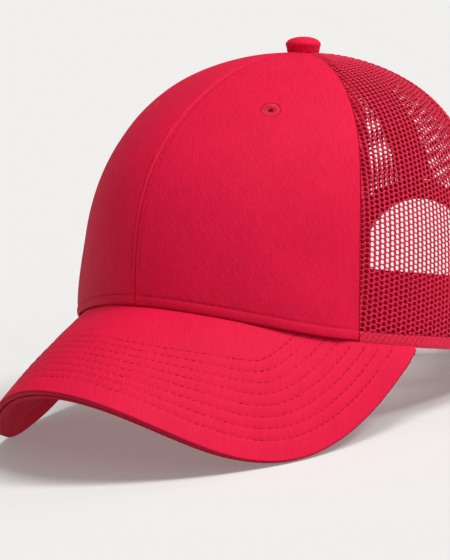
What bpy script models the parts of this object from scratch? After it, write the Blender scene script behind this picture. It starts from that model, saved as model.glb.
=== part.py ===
"""Six-panel trucker mesh cap: two stiffened twill front panels, four open mesh
panels, a pre-curved visor, inner seam tapes, sweatband, arch binding and a
two-piece plastic snap closure.

The cap is modelled in its own "crown frame" in millimetres: +Z up the crown
through the top button, -Y forward over the visor, +X the wearer's left.  The
crown frame hangs under the empty "cap_at_rest", which leans the whole cap back
until the two visor corners and the rear hem stand on z = 0.
"""
import math

import bmesh
import bpy
import numpy as np
from mathutils import Matrix, Vector

MM = 0.001

# ---------------------------------------------------------------- dimensions
# crown, at its outer face (mm)
HEM_HALF_WIDTH = 86.6      # sideways half width of the hem
HEM_FRONT = 101.2          # hem centre to the front seam
HEM_REAR = 106.2           # hem centre to the rear seam
HEM_SHAPE_FRONT = 1.81     # superellipse powers of the hem's plan
HEM_SHAPE_REAR = 2.05
HEM_TILT = 7.2             # degrees between the hem's plane and the crown axis
HEM_DROP = 6.2             # temples lie this much below the front centre
TEMPLE_DIP = 1.1
BUTTON_Y = 9.3             # crown axis, behind the hem's centre
CROWN_HEIGHT = 117.6       # hem centre to the top of the crown
# profile powers (outward, upward) at the front, side and rear
POWER_OUT = (2.0, 2.29, 1.9)
POWER_UP = (2.83, 2.62, 2.30)
SWELL_LOW = (-0.033, 0.047)    # fullness added low on the front, and elsewhere
SWELL_HIGH = (0.011, -0.029)
# seams between the panels, degrees from the front centre
SIDE_SEAM_HEM = 59.8
SIDE_SEAM_TOP = 63.1
SIDE_SEAM_BOW = 2.6
REAR_SEAM = 120.5
TIP_THETA = 87.9           # panels stop here, short of the button's post
# every layer of the crown is drawn through the same levels (degrees of theta)
LEVELS = (4.5, 10, 17, 24, 31, 38, 45, 52, 59, 66, 73, 80)

FABRIC = 0.9               # panel thickness
BUCKRAM = (1.2, 2.0)       # depth range of each inner layer below the outer face
FRONT_TAPE = (2.3, 2.8)
REAR_TAPE = (1.25, 1.75)
TAB_LAYER = (2.1, 3.3)
PEG_LAYER = (3.65, 4.85)
BAND_LAYER = (3.7, 4.7)
SEAM_GAP = 0.15            # each panel stops this far from its seam
HEM_GAP = 0.35

BAND_HEIGHT = 31.5
FRONT_TAPE_WIDTH = 12.0
SIDE_TAPE_WIDTH = 12.0
REAR_TAPE_WIDTH = 18.0
TAPE_TOP_RADIUS = 17.5

# visor (mm, in the hem's plane)
VISOR_HALF_WIDTH = 85.1
VISOR_REACH = 48.7         # plan distance from the front seam to the edge
VISOR_CENTRE_Y = -21.2
VISOR_TIP_POWER = 2.5
VISOR_SIDE_POWER = 1.84
VISOR_TAIL = 39.8
VISOR_EDGE_Z = (-37.6, 18.4, 5.7, -0.8)  # mean drop of the edge and its waves
VISOR_CROWNING = 3.2
VISOR_LAYERS = ((0.0, 0.6), (0.9, 2.4), (2.75, 3.35))  # cover, board, lining

# rear opening and snap closure
ARCH_RADIUS = 35.0
ARCH_SPRING_Z = 15.0       # the arch turns from here, in the crown frame
BINDING_WIDTH = 9.0
STRAP_LOW, STRAP_HIGH = 3.4, 21.4
TAB_INNER, TAB_OUTER = 34.4, 50.0
HINGE_X = 33.5
STRAP_END = 33.2
HOLE_STRAP_REACH = -20.0   # free end of each strap, across the centre
PEG_STRAP_REACH = 18.5
SNAP_PITCH = 9.5
SNAP_FIRST = -15.2
SNAPS_SHARED = 4
PEG_RADIUS, HOLE_RADIUS = 2.1, 3.0

# button and eyelets
BUTTON_RADIUS = 7.7
BUTTON_HEIGHT = 6.2
EYELET_PHI, EYELET_THETA = 31.3, 46.1
EYELET_OUTER, EYELET_INNER = 4.5, 1.35

RED = (0.62, 0.012, 0.045, 1.0)
MESH_RED = (0.58, 0.010, 0.040, 1.0)
TAPE_RED = (0.45, 0.010, 0.035, 1.0)

for old in list(bpy.data.objects):
    bpy.data.objects.remove(old)


# ------------------------------------------------------------ crown geometry
def wave(phi, front, side, rear):
    """A value that runs smoothly from the front over the side to the rear."""
    a = (front + rear) / 2
    return (a + side) / 2 + (front - rear) / 2 * np.cos(phi) + (a - side) / 2 * np.cos(2 * phi)


def hem_plan(phi):
    phi = np.asarray(phi, float)
    sx, cy = np.sin(phi), -np.cos(phi)
    n = HEM_SHAPE_REAR + (HEM_SHAPE_FRONT - HEM_SHAPE_REAR) * (1 + np.cos(phi)) / 2
    length = np.where(cy > 0, HEM_REAR, HEM_FRONT)
    r = (np.abs(sx / HEM_HALF_WIDTH) ** n + np.abs(cy / length) ** n) ** (-1 / n)
    return r * sx, r * cy


def hem(phi):
    """The hem line, in the hem's own frame."""
    x, y = hem_plan(phi)
    a = np.abs(np.degrees(phi))
    s = np.clip(a / 55, 0, 1)
    s = s * s * (3 - 2 * s)
    z = -HEM_DROP * s - TEMPLE_DIP * np.exp(-(((a - 66) / 22) ** 2)) * np.clip(a / 30, 0, 1) ** 2
    return np.stack([x, y, z + 0 * x], -1)


def lean(p, degrees):
    """Tips points back about X, so that the visor rises."""
    c, s = math.cos(math.radians(degrees)), math.sin(math.radians(degrees))
    p = np.asarray(p, float)
    return np.stack([p[..., 0], p[..., 1] * c + p[..., 2] * s, -p[..., 1] * s + p[..., 2] * c], -1)


def crown(phi, theta):
    """The crown's outer face: phi round from the front, theta up from the hem."""
    phi, theta = np.broadcast_arrays(np.asarray(phi, float), np.asarray(theta, float))
    base = lean(hem(phi), HEM_TILT)
    out, up = wave(phi, *POWER_OUT), wave(phi, *POWER_UP)
    low = wave(phi, SWELL_LOW[0], SWELL_LOW[1], SWELL_LOW[1])
    high = wave(phi, SWELL_HIGH[0], SWELL_HIGH[1], SWELL_HIGH[1])
    c, s = np.clip(np.cos(theta), 0, 1), np.clip(np.sin(theta), 0, 1)
    f = c ** (2 / out) + low * np.sin(2 * theta) ** 2 * np.sqrt(c) + high * np.sin(2 * theta) * np.sin(4 * theta)
    g = s ** (2 / up)
    return np.stack(
        [base[..., 0] * f, BUTTON_Y + (base[..., 1] - BUTTON_Y) * f, base[..., 2] * (1 - g) + CROWN_HEIGHT * g], -1
    )


def crown_normal(phi, theta):
    h = 0.004
    t0, t1 = np.clip(theta - h, 0.001, 1.55), np.clip(theta + h, 0.001, 1.55)
    du = crown(phi + h, theta) - crown(phi - h, theta)
    dv = crown(phi, t1) - crown(phi, t0)
    n = np.cross(du, dv)
    return n / np.linalg.norm(n, axis=-1, keepdims=True)


def shell(phi, theta, depth):
    """A point on the crown, moved in by depth."""
    phi, theta = np.broadcast_arrays(np.asarray(phi, float), np.asarray(theta, float))
    return crown(phi, theta) - crown_normal(phi, theta) * np.asarray(depth, float)[..., None]


TABLE = np.linspace(0, math.pi / 2, 240)


def theta_at(phi, height):
    """How far up the meridian at phi lies the point this many mm above the hem."""
    phi, height = np.broadcast_arrays(np.asarray(phi, float), np.asarray(height, float))
    out = np.empty(phi.shape)
    for i in np.ndindex(phi.shape):
        line = crown(phi[i], TABLE)
        run = np.concatenate([[0], np.cumsum(np.linalg.norm(np.diff(line, axis=0), axis=1))])
        out[i] = np.interp(height[i], run, TABLE)
    return out


def rear_point(x, z, depth):
    """The point of the rear of the crown at this x and z, in the crown frame."""
    x, z = float(x), float(z)
    q = np.array([math.pi - x / 100.0, 0.35])
    for _ in range(40):
        p = shell(q[0], q[1], depth)
        miss = np.array([p[0] - x, p[2] - z])
        if np.abs(miss).max() < 1e-5:
            break
        h = 1e-4
        a = (shell(q[0] + h, q[1], depth) - p) / h
        b = (shell(q[0], q[1] + h, depth) - p) / h
        step = np.linalg.solve(np.array([[a[0], b[0]], [a[2], b[2]]]), miss)
        q = q - np.clip(step, -0.15, 0.15)
        q[1] = min(max(q[1], 0.002), 1.5)
    return shell(q[0], q[1], depth)


def side_seam(theta):
    u = np.sin(theta) ** 2
    return np.radians(SIDE_SEAM_HEM + (SIDE_SEAM_TOP - SIDE_SEAM_HEM) * u + SIDE_SEAM_BOW * 4 * u * (1 - u))


def reach(phi, theta):
    """Level distance from the crown's axis."""
    p = crown(phi, theta)
    return np.hypot(p[..., 0], p[..., 1] - BUTTON_Y)


# ----------------------------------------------------------------- materials
def material(name, colour, rough, sheen=0.0, coat=0.0):
    m = bpy.data.materials.new(name)
    m.use_nodes = True
    b = m.node_tree.nodes["Principled BSDF"]
    b.inputs["Base Color"].default_value = colour
    b.inputs["Roughness"].default_value = rough
    b.inputs["Metallic"].default_value = 0.0
    b.inputs["Sheen Weight"].default_value = sheen
    b.inputs["Coat Weight"].default_value = coat
    return m


# -------------------------------------------------------------- mesh helpers
REST = bpy.data.objects.new("cap_at_rest", None)
bpy.context.scene.collection.objects.link(REST)


def add(name, verts, faces, mat, smooth=True, parent=REST, origin=(0, 0, 0)):
    """A closed mesh object from crown-frame millimetres, with its faces out."""
    me = bpy.data.meshes.new(name)
    o = np.asarray(origin, float)
    me.from_pydata([tuple((np.asarray(v, float) - o) * MM) for v in verts], [], [tuple(f) for f in faces])
    bm = bmesh.new()
    bm.from_mesh(me)
    bmesh.ops.recalc_face_normals(bm, faces=bm.faces)
    bm.to_mesh(me)
    bm.free()
    me.materials.append(mat)
    if smooth:
        me.shade_smooth()
        me.set_sharp_from_angle(angle=math.radians(40))
    ob = bpy.data.objects.new(name, me)
    bpy.context.scene.collection.objects.link(ob)
    ob.parent = parent
    return ob


def slab(name, outer, inner, mat, **kw):
    """A closed sheet between two matching grids of points."""
    n, m = outer.shape[:2]
    verts = np.concatenate([outer.reshape(-1, 3), inner.reshape(-1, 3)])
    k = n * m

    def at(i, j, side):
        return side * k + i * m + j

    faces = []
    for i in range(n - 1):
        for j in range(m - 1):
            faces.append((at(i, j, 0), at(i + 1, j, 0), at(i + 1, j + 1, 0), at(i, j + 1, 0)))
            faces.append((at(i, j, 1), at(i, j + 1, 1), at(i + 1, j + 1, 1), at(i + 1, j, 1)))
    rim = (
        [(i, 0) for i in range(n)]
        + [(n - 1, j) for j in range(1, m)]
        + [(i, m - 1) for i in range(n - 2, -1, -1)]
        + [(0, j) for j in range(m - 2, 0, -1)]
    )
    for a, b in zip(rim, rim[1:] + rim[:1]):
        faces.append((at(*a, 0), at(*b, 0), at(*b, 1), at(*a, 1)))
    return add(name, verts, faces, mat, **kw)


def cutter(name, verts, faces, mat, **kw):
    ob = add(name, verts, faces, mat, smooth=False, **kw)
    ob.hide_render = True
    ob.display_type = "WIRE"
    return ob


def boolean(ob, other, operation):
    mod = ob.modifiers.new(other.name, "BOOLEAN")
    mod.operation = operation
    mod.solver = "EXACT"
    mod.object = other


def drum(centre, axis, radius, low, high, sides=18, taper=1.0):
    """A closed cylinder or cone frustum about an axis."""
    axis = np.asarray(axis, float) / np.linalg.norm(axis)
    u = np.cross(axis, [0.0, 0.0, 1.0] if abs(axis[2]) < 0.9 else [1.0, 0.0, 0.0])
    u /= np.linalg.norm(u)
    v = np.cross(axis, u)
    t = np.linspace(0, 2 * math.pi, sides, endpoint=False)
    ring = np.outer(np.cos(t), u) + np.outer(np.sin(t), v)
    verts = np.concatenate([centre + axis * low + ring * radius, centre + axis * high + ring * radius * taper])
    faces = [tuple(range(sides)), tuple(range(2 * sides - 1, sides - 1, -1))]
    for i in range(sides):
        j = (i + 1) % sides
        faces.append((i, j, sides + j, sides + i))
    return verts, faces


def turned(name, centre, axis, profile, mat, sides=32):
    """A solid turned about an axis from a closed profile of (radius, height)."""
    axis = np.asarray(axis, float) / np.linalg.norm(axis)
    u = np.cross(axis, [0.0, 1.0, 0.0] if abs(axis[1]) < 0.9 else [1.0, 0.0, 0.0])
    u /= np.linalg.norm(u)
    v = np.cross(axis, u)
    verts, rows = [], []
    for r, h in profile:
        if r < 1e-6:
            rows.append([len(verts)])
            verts.append(centre + axis * h)
        else:
            rows.append(list(range(len(verts), len(verts) + sides)))
            for t in np.linspace(0, 2 * math.pi, sides, endpoint=False):
                verts.append(centre + axis * h + (u * math.cos(t) + v * math.sin(t)) * r)
    faces = []
    closed = profile[0][0] > 1e-6
    pairs = list(zip(rows, rows[1:])) + ([(rows[-1], rows[0])] if closed else [])
    for a, b in pairs:
        for i in range(sides):
            j = (i + 1) % sides
            if len(a) == 1:
                faces.append((a[0], b[i], b[j]))
            elif len(b) == 1:
                faces.append((a[i], b[0], a[j]))
            else:
                faces.append((a[i], b[i], b[j], a[j]))
    return add(name, verts, faces, mat)


TWILL = material("twill", RED, 0.62, sheen=0.25)
MESH = material("mesh_knit", MESH_RED, 0.55, sheen=0.15)
BUCK = material("buckram", (0.55, 0.03, 0.06, 1.0), 0.85)
TAPE = material("seam_tape", TAPE_RED, 0.70, sheen=0.2)
BAND = material("sweatband", (0.50, 0.010, 0.035, 1.0), 0.75, sheen=0.3)
BOARD = material("visor_board", (0.75, 0.74, 0.72, 1.0), 0.45)
PLASTIC = material("snap_plastic", (0.60, 0.010, 0.04, 1.0), 0.35, coat=0.1)
METAL = material("steel_prong", (0.62, 0.62, 0.64, 1.0), 0.30)
METAL.node_tree.nodes["Principled BSDF"].inputs["Metallic"].default_value = 1.0
THREAD = material("embroidery", RED, 0.50, sheen=0.2)


# -------------------------------------------------------------------- panels
def panel(name, left, right, depths, mat, columns, gap=SEAM_GAP, low=HEM_GAP):
    """A crown panel between two seams, each a function of theta."""
    grids = ([], [])
    for u in np.linspace(0, 1, columns + 1):
        start = float(theta_at(left(0.1) + (right(0.1) - left(0.1)) * u, low))
        theta = np.array([start] + [math.radians(t) for t in LEVELS] + [math.radians(TIP_THETA)])
        a, b = left(theta), right(theta)
        slack = np.sign(b - a) * gap / np.maximum(reach((a + b) / 2, theta), 1.0)
        phi = a + slack + (b - a - 2 * slack) * u
        for grid, d in zip(grids, depths):
            grid.append(shell(phi, theta, np.full(phi.shape, d)))
    return slab(name, np.array(grids[0]), np.array(grids[1]), mat)


def centre_line(theta):
    return 0.0 * np.asarray(theta, float)


def rear_side(theta):
    return np.full(np.shape(theta), math.radians(REAR_SEAM))


def rear_centre(theta):
    return np.full(np.shape(theta), math.pi)


def mirror(f):
    return lambda theta: -f(theta)


for side, sgn in (("left", 1), ("right", -1)):
    seams = [centre_line, side_seam, rear_side, rear_centre]
    if sgn < 0:
        seams = [mirror(s) for s in seams]
    panel(f"front_panel_{side}", seams[0], seams[1], (0.0, FABRIC), TWILL, 10)
    panel(f"front_buckram_{side}", seams[0], seams[1], BUCKRAM, BUCK, 10, gap=0.6, low=1.2)
    panel(f"side_mesh_{side}", seams[1], seams[2], (0.0, FABRIC), MESH, 10)
    panel(f"rear_mesh_{side}", seams[2], seams[3], (0.0, FABRIC), MESH, 12)

# the rear opening, cut straight through both rear panels
arc = [(ARCH_RADIUS * math.cos(t), ARCH_SPRING_Z + ARCH_RADIUS * math.sin(t)) for t in np.linspace(0, math.pi, 25)]
outline = [(ARCH_RADIUS, -60.0)] + arc + [(-ARCH_RADIUS, -60.0)]
n = len(outline)
arch_cut = cutter(
    "arch_cutter",
    [(x, 50.0, z) for x, z in outline] + [(x, 150.0, z) for x, z in outline],
    [tuple(range(n)), tuple(range(2 * n - 1, n - 1, -1))] + [(i, (i + 1) % n, n + (i + 1) % n, n + i) for i in range(n)],
    MESH,
)
for side in ("left", "right"):
    boolean(bpy.data.objects[f"rear_mesh_{side}"], arch_cut, "DIFFERENCE")

# -------------------------------------------------------- eyelets and vents
for side, sgn in (("left", 1), ("right", -1)):
    phi, theta = np.array(sgn * math.radians(EYELET_PHI)), np.array(math.radians(EYELET_THETA))
    centre, axis = crown(phi, theta), crown_normal(phi, theta)
    mid, half = (EYELET_OUTER + EYELET_INNER) / 2, (EYELET_OUTER - EYELET_INNER) / 2
    profile = [(EYELET_INNER, 0.36)]
    profile += [(mid - half * math.cos(t), 0.5 + 0.6 * math.sin(t)) for t in np.linspace(0, math.pi, 7)]
    profile += [(EYELET_OUTER, 0.36)]
    turned(f"eyelet_{side}", centre, axis, profile, THREAD, sides=24)
    hole = cutter(f"vent_cutter_{side}", *drum(centre, axis, EYELET_INNER, -4.0, 3.0), TWILL)
    boolean(bpy.data.objects[f"front_panel_{side}"], hole, "DIFFERENCE")
    boolean(bpy.data.objects[f"front_buckram_{side}"], hole, "DIFFERENCE")


# --------------------------------------------------------------- seam tapes
def tape(name, seam, width, depths, low, top=TAPE_TOP_RADIUS, columns=2):
    """A flat tape laid inside the crown along a seam."""
    thetas = np.linspace(0.2, 1.5, 400)
    end = float(thetas[np.argmin(np.abs(reach(seam(thetas), thetas) - top))])
    start = float(theta_at(seam(np.array(0.1)), low)) if low < 1000 else low - 1000
    between = [math.radians(t) for t in LEVELS if start + 0.02 < math.radians(t) < end - 0.03]
    theta = np.array([start] + between + [end])
    middle = seam(theta)
    grids = ([], [])
    for w in np.linspace(-0.5, 0.5, columns + 1):
        phi = middle + w * width / reach(middle, theta)
        for grid, d in zip(grids, depths):
            grid.append(shell(phi, theta, np.full(phi.shape, d)))
    return slab(name, np.array(grids[0]), np.array(grids[1]), TAPE)


tape("tape_front_centre", centre_line, FRONT_TAPE_WIDTH, FRONT_TAPE, 1.2)
for side, sgn in (("left", 1), ("right", -1)):
    a = side_seam if sgn > 0 else mirror(side_seam)
    b = rear_side if sgn > 0 else mirror(rear_side)
    tape(f"tape_front_side_{side}", a, SIDE_TAPE_WIDTH, FRONT_TAPE, 1.2)
    tape(f"tape_rear_side_{side}", b, SIDE_TAPE_WIDTH, REAR_TAPE, 1.2)
# the rear tape starts above the arch binding
above = 0.0
for t in np.linspace(0.2, 1.2, 500):
    if crown(math.pi, t)[2] > ARCH_SPRING_Z + ARCH_RADIUS + BINDING_WIDTH + 1.2:
        above = t
        break
tape("tape_rear_centre", rear_centre, REAR_TAPE_WIDTH, REAR_TAPE, 1000 + above)


# -------------------------------------------------------------- arch binding
def rear_hem_z(x):
    """Height of the rear hem where it stands x from the centre."""
    phis = np.linspace(math.pi / 2, math.pi, 400)
    p = lean(hem(phis), HEM_TILT)
    return float(np.interp(-abs(x), -p[:, 0], p[:, 2]))


rows = []
for k, r in enumerate((ARCH_RADIUS + 0.3, ARCH_RADIUS + BINDING_WIDTH)):
    foot = rear_hem_z(r) + 1.4
    leg = [(r, z) for z in np.linspace(foot, ARCH_SPRING_Z, 5)[:-1]]
    bow = [(r * math.cos(t), ARCH_SPRING_Z + r * math.sin(t)) for t in np.linspace(0, math.pi, 21)]
    rows.append(leg + bow + [(-x, z) for x, z in reversed(leg)])
slab(
    "arch_binding",
    np.array([[rear_point(x, z, REAR_TAPE[0]) for x, z in row] for row in rows]),
    np.array([[rear_point(x, z, REAR_TAPE[1]) for x, z in row] for row in rows]),
    TAPE,
)


# ----------------------------------------------------------------- sweatband
def phi_at_x(x):
    """Where round the rear hem the crown stands x to the wearer's left."""
    phis = np.linspace(math.pi / 2, 1.5 * math.pi, 600)
    return float(np.interp(-x, -crown(phis, 0.12)[:, 0], phis))


end = phi_at_x(37.5)
phis = np.linspace(-end, end, 57)
outer, inner = [], []
for h in (HEM_GAP, 10.5, 21.0, BAND_HEIGHT):
    th = theta_at(phis, h)
    outer.append(shell(phis, th, np.full(phis.shape, BAND_LAYER[0])))
    inner.append(shell(phis, th, np.full(phis.shape, BAND_LAYER[1])))
slab("sweatband", np.array(outer), np.array(inner), BAND)


# --------------------------------------------------------------------- visor
def visor_outline(count=160):
    """Half of the visor's plan, from the tip to where it meets the hem."""
    t = np.linspace(0, math.pi / 2, count)
    forward = HEM_FRONT + VISOR_REACH + VISOR_CENTRE_Y
    x = VISOR_HALF_WIDTH * np.sin(t) ** (2 / VISOR_SIDE_POWER)
    y = VISOR_CENTRE_Y - forward * np.cos(t) ** (2 / VISOR_TIP_POWER)
    x = np.concatenate([x, VISOR_HALF_WIDTH * np.cos(t[1:]) ** (2 / 2.2)])
    y = np.concatenate([y, VISOR_CENTRE_Y + VISOR_TAIL * np.sin(t[1:]) ** (2 / 2.2)])
    phi = np.arctan2(x, -y)
    hx, hy = hem_plan(phi)
    past = np.hypot(x, y) - np.hypot(hx, hy)
    i = next(i for i in range(count // 2, len(x)) if past[i] < 0)
    f = past[i - 1] / (past[i - 1] - past[i])
    x = np.append(x[:i], x[i - 1] + f * (x[i] - x[i - 1]))
    y = np.append(y[:i], y[i - 1] + f * (y[i] - y[i - 1]))
    return x, y


OUT_X, OUT_Y = visor_outline()
RUN = np.concatenate([[0], np.cumsum(np.hypot(np.diff(OUT_X), np.diff(OUT_Y)))])
VISOR_END = math.atan2(OUT_X[-1], -OUT_Y[-1])


def visor_edge(u):
    """The visor's outer edge, u from -1 at the right end to 1 at the left."""
    a = np.abs(u)
    x, y = np.interp(a, RUN / RUN[-1], OUT_X), np.interp(a, RUN / RUN[-1], OUT_Y)

    def height(v):
        e = VISOR_EDGE_Z
        return (
            e[0]
            + e[1] * (np.cos(math.pi * v) - 1)
            + e[2] * (np.cos(2 * math.pi * v) - 1)
            + e[3] * (np.cos(3 * math.pi * v) - 1)
        )

    end = hem(VISOR_END)[2]
    z = height(a) + (end - height(1.0)) * a**3
    return np.stack([np.sign(u) * x, y, z], -1)


def visor_top(u, lam):
    """The visor's upper face in the crown frame: lam from the hem to the edge."""
    u, lam = np.broadcast_arrays(np.asarray(u, float), np.asarray(lam, float))
    p = hem(u * VISOR_END) * (1 - lam[..., None]) + visor_edge(u) * lam[..., None]
    p = p + np.stack([0 * u, 0 * u, VISOR_CROWNING * 4 * lam * (1 - lam) * (1 - u**4)], -1)
    return lean(p, HEM_TILT)


def visor_normal(u, lam):
    u, lam = np.broadcast_arrays(np.asarray(u, float), np.asarray(lam, float))
    h = 0.01
    du = visor_top(u + h, lam) - visor_top(u - h, lam)
    dl = visor_top(u, np.minimum(lam + h, 1)) - visor_top(u, np.maximum(lam - h, 0))
    n = np.cross(dl, du)
    n = n / np.linalg.norm(n, axis=-1, keepdims=True)
    return np.where(n[..., 2:3] < 0, -n, n)


ROOT_TUCK = 2.0   # the visor runs this far in under the panels' lower edge


def visor_point(u, lam, depth):
    """A point depth below the visor's upper face; lam below 0 is under the hem."""
    u, lam = np.broadcast_arrays(np.asarray(u, float), np.asarray(lam, float))
    inside = np.clip(lam, 0, 1)
    p = visor_top(u, inside) - visor_normal(u, np.clip(inside, 0.02, 0.98)) * np.asarray(depth, float)[..., None]
    wall = shell(u * VISOR_END, np.full(u.shape, 0.05), np.full(u.shape, 1.0)) - crown(u * VISOR_END, np.full(u.shape, 0.05))
    wall[..., 2] = 0
    return p + wall * (np.clip(-lam, 0, 1) * ROOT_TUCK)[..., None]


def visor_sheet(name, depths, mat, columns, lams, ends, lip=None):
    u = np.linspace(-ends, ends, columns + 1)[:, None]
    lams = np.array(lams)[None, :]
    if lip is None:
        return slab(name, visor_point(u, lams, np.full((1, 1), depths[0])), visor_point(u, lams, np.full((1, 1), depths[1])), mat)
    # the cover turns down over the board's edge as far as lip
    top = visor_point(u, np.append(lams, [[1.0]], 1), np.append(np.full(lams.shape, depths[0]), [[lip]], 1))
    rim = 1.0 - 0.012
    inner = np.minimum(lams, rim)
    under = visor_point(u, np.append(inner, [[rim]], 1), np.append(np.full(lams.shape, depths[1]), [[lip]], 1))
    return slab(name, top, under, mat)


visor_sheet("visor_top_cover", VISOR_LAYERS[0], TWILL, 33, (-1.0, 0.0, 0.2, 0.4, 0.6, 0.8, 1.0), 0.975, lip=2.45)
visor_sheet("visor_board", VISOR_LAYERS[1], BOARD, 33, (-0.6, 0.2, 0.4, 0.6, 0.8, 0.975), 0.95)
visor_sheet("visor_under_cover", VISOR_LAYERS[2], TWILL, 33, (-1.0, 0.2, 0.4, 0.6, 0.8, 1.0), 0.975)

# ---------------------------------------------------------------- top button
POLE = np.array([0.0, BUTTON_Y, CROWN_HEIGHT])
UP = np.array([0.0, 0.0, 1.0])
body = [(0.0, 0.9)]
body += [(2.4, 0.9), (2.4, 0.45), (BUTTON_RADIUS - 1.2, 0.45), (BUTTON_RADIUS - 0.4, 1.0)]
body += [
    (BUTTON_RADIUS * math.cos(t) ** 0.55, 1.9 + (BUTTON_HEIGHT - 1.9) * math.sin(t)) for t in np.linspace(0, math.pi / 2, 7)[:-1]
]
body += [(0.0, BUTTON_HEIGHT)]
turned("top_button", POLE, UP, body, TWILL, sides=32)
turned(
    "button_prong",
    POLE,
    UP,
    [(0.0, 0.55), (1.2, 0.55), (1.2, -3.6), (6.0, -3.6), (6.5, -4.0), (6.0, -4.5), (0.0, -4.5)],
    METAL,
    sides=24,
)


# ------------------------------------------------------------- snap closure
def strap_point(x, height, depth):
    phi = phi_at_x(x)
    for _ in range(6):
        th = float(theta_at(np.array(phi), height))
        p = shell(phi, th, depth)
        phi += (p[0] - x) / 100.0
    return shell(phi, float(theta_at(np.array(phi), height)), depth)


def strap_slab(name, xs, depths, heights, mat, **kw):
    """A plastic band following the rear hem; depths gives its outer face at each x."""
    thick = TAB_LAYER[1] - TAB_LAYER[0]
    outer = np.array([[strap_point(x, h, d) for h in hs] for x, d, hs in zip(xs, depths, heights)])
    inner = np.array([[strap_point(x, h, d + thick) for h in hs] for x, d, hs in zip(xs, depths, heights)])
    return slab(name, outer, inner, mat, **kw)


MID_H = (STRAP_LOW + STRAP_HIGH) / 2


def band_heights(x, tip):
    """The strap's two edges, drawn in towards a rounded free end."""
    half = (STRAP_HIGH - STRAP_LOW) / 2
    past = max(0.0, 1 - abs(x - tip) / 6.0)
    half *= math.sqrt(max(1 - past**2, 0.16))
    return (MID_H - half, MID_H, MID_H + half)


for side, sgn in (("left", 1), ("right", -1)):
    xs = np.linspace(TAB_INNER, TAB_OUTER, 4) * sgn
    strap_slab(f"strap_tab_{side}", xs, [TAB_LAYER[0]] * 4, [(STRAP_LOW, MID_H, STRAP_HIGH)] * 4, PLASTIC)

hinges = {}
for side, sgn in (("left", 1), ("right", -1)):
    middle = (strap_point(sgn * HINGE_X, MID_H, TAB_LAYER[0]) + strap_point(sgn * HINGE_X, MID_H, TAB_LAYER[1])) / 2
    along = strap_point(sgn * HINGE_X, STRAP_HIGH, 2.6) - strap_point(sgn * HINGE_X, STRAP_LOW, 2.6)
    pivot = bpy.data.objects.new(f"strap_hinge_{side}", None)
    bpy.context.scene.collection.objects.link(pivot)
    pivot.parent = REST
    pivot.location = Vector(middle * MM)
    hinges[side] = (pivot, middle, along / np.linalg.norm(along))

snap_x = [SNAP_FIRST + SNAP_PITCH * k for k in range(SNAPS_SHARED)]
# strap with holes: outer, from the wearer's left
xs = np.concatenate([np.linspace(STRAP_END, HOLE_STRAP_REACH + 6, 11), HOLE_STRAP_REACH + 6 * np.array([0.55, 0.22, 0.0])])
holed = strap_slab(
    "strap_with_holes",
    xs,
    [TAB_LAYER[0]] * len(xs),
    [band_heights(x, HOLE_STRAP_REACH) for x in xs],
    PLASTIC,
    parent=hinges["left"][0],
    origin=hinges["left"][1],
)
verts, faces = [], []
for x in snap_x + [snap_x[-1] + SNAP_PITCH]:
    c = strap_point(x, MID_H, 2.6)
    a = strap_point(x, MID_H, 0.0) - strap_point(x, MID_H, 5.0)
    v, f = drum(c, a, HOLE_RADIUS, -3.0, 3.0)
    faces += [tuple(len(verts) + i for i in q) for q in f]
    verts += list(v)
boolean(holed, cutter("snap_hole_cutter", verts, faces, PLASTIC, parent=hinges["left"][0], origin=hinges["left"][1]), "DIFFERENCE")


# strap with pegs: it steps in behind the other strap before the first peg
def peg_depth(x):
    s = min(max((x + STRAP_END) / 9.0, 0.0), 1.0)
    return TAB_LAYER[0] + (PEG_LAYER[0] - TAB_LAYER[0]) * s * s * (3 - 2 * s)


xs = np.concatenate([np.linspace(-STRAP_END, -23.0, 6), np.linspace(-19.0, PEG_STRAP_REACH - 6, 8), PEG_STRAP_REACH - 6 * np.array([0.55, 0.22, 0.0])])
pegged = strap_slab(
    "strap_with_pegs",
    xs,
    [peg_depth(x) for x in xs],
    [band_heights(x, PEG_STRAP_REACH) for x in xs],
    PLASTIC,
    parent=hinges["right"][0],
    origin=hinges["right"][1],
)
verts, faces = [], []
for x in snap_x:
    c = strap_point(x, MID_H, PEG_LAYER[0])
    a = strap_point(x, MID_H, 0.0) - strap_point(x, MID_H, 5.0)
    v, f = drum(c, a, PEG_RADIUS, -0.6, 2.3, sides=16, taper=0.82)
    faces += [tuple(len(verts) + i for i in q) for q in f]
    verts += list(v)
boolean(pegged, cutter("snap_peg_tool", verts, faces, PLASTIC, parent=hinges["right"][0], origin=hinges["right"][1]), "UNION")

# ------------------------------------------------------------- resting pose
def corners(*names):
    """The finished vertices of these pieces, in the crown frame (mm)."""
    graph = bpy.context.evaluated_depsgraph_get()
    found = []
    for name in names:
        ob = bpy.data.objects[name].evaluated_get(graph)
        me = ob.to_mesh()
        co = np.empty(3 * len(me.vertices))
        me.vertices.foreach_get("co", co)
        place = np.array(ob.matrix_world)
        found.append((co.reshape(-1, 3) @ place[:3, :3].T + place[:3, 3]) / MM)
        ob.to_mesh_clear()
    return np.concatenate(found)


# The cap leans back until the visor's low corners and the rear hem are level.
bpy.context.view_layer.update()
visor_corners = corners("visor_top_cover", "visor_under_cover")
rear_corners = corners("rear_mesh_left", "rear_mesh_right")
a, b = 0.0, 20.0
for _ in range(60):
    m = (a + b) / 2
    if lean(visor_corners, m)[:, 2].min() < lean(rear_corners, m)[:, 2].min():
        a = m
    else:
        b = m
REST_LEAN = (a + b) / 2
settled = lean(np.concatenate([visor_corners, rear_corners, corners("strap_with_holes", "strap_with_pegs")]), REST_LEAN)
REST.rotation_euler = (-math.radians(REST_LEAN), 0.0, 0.0)
REST.location = (0.0, -0.5 * (settled[:, 1].min() + settled[:, 1].max()) * MM, -settled[:, 2].min() * MM)
bpy.context.view_layer.update()
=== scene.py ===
import math

import bpy
import numpy as np
from mathutils import Matrix, Vector


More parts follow.
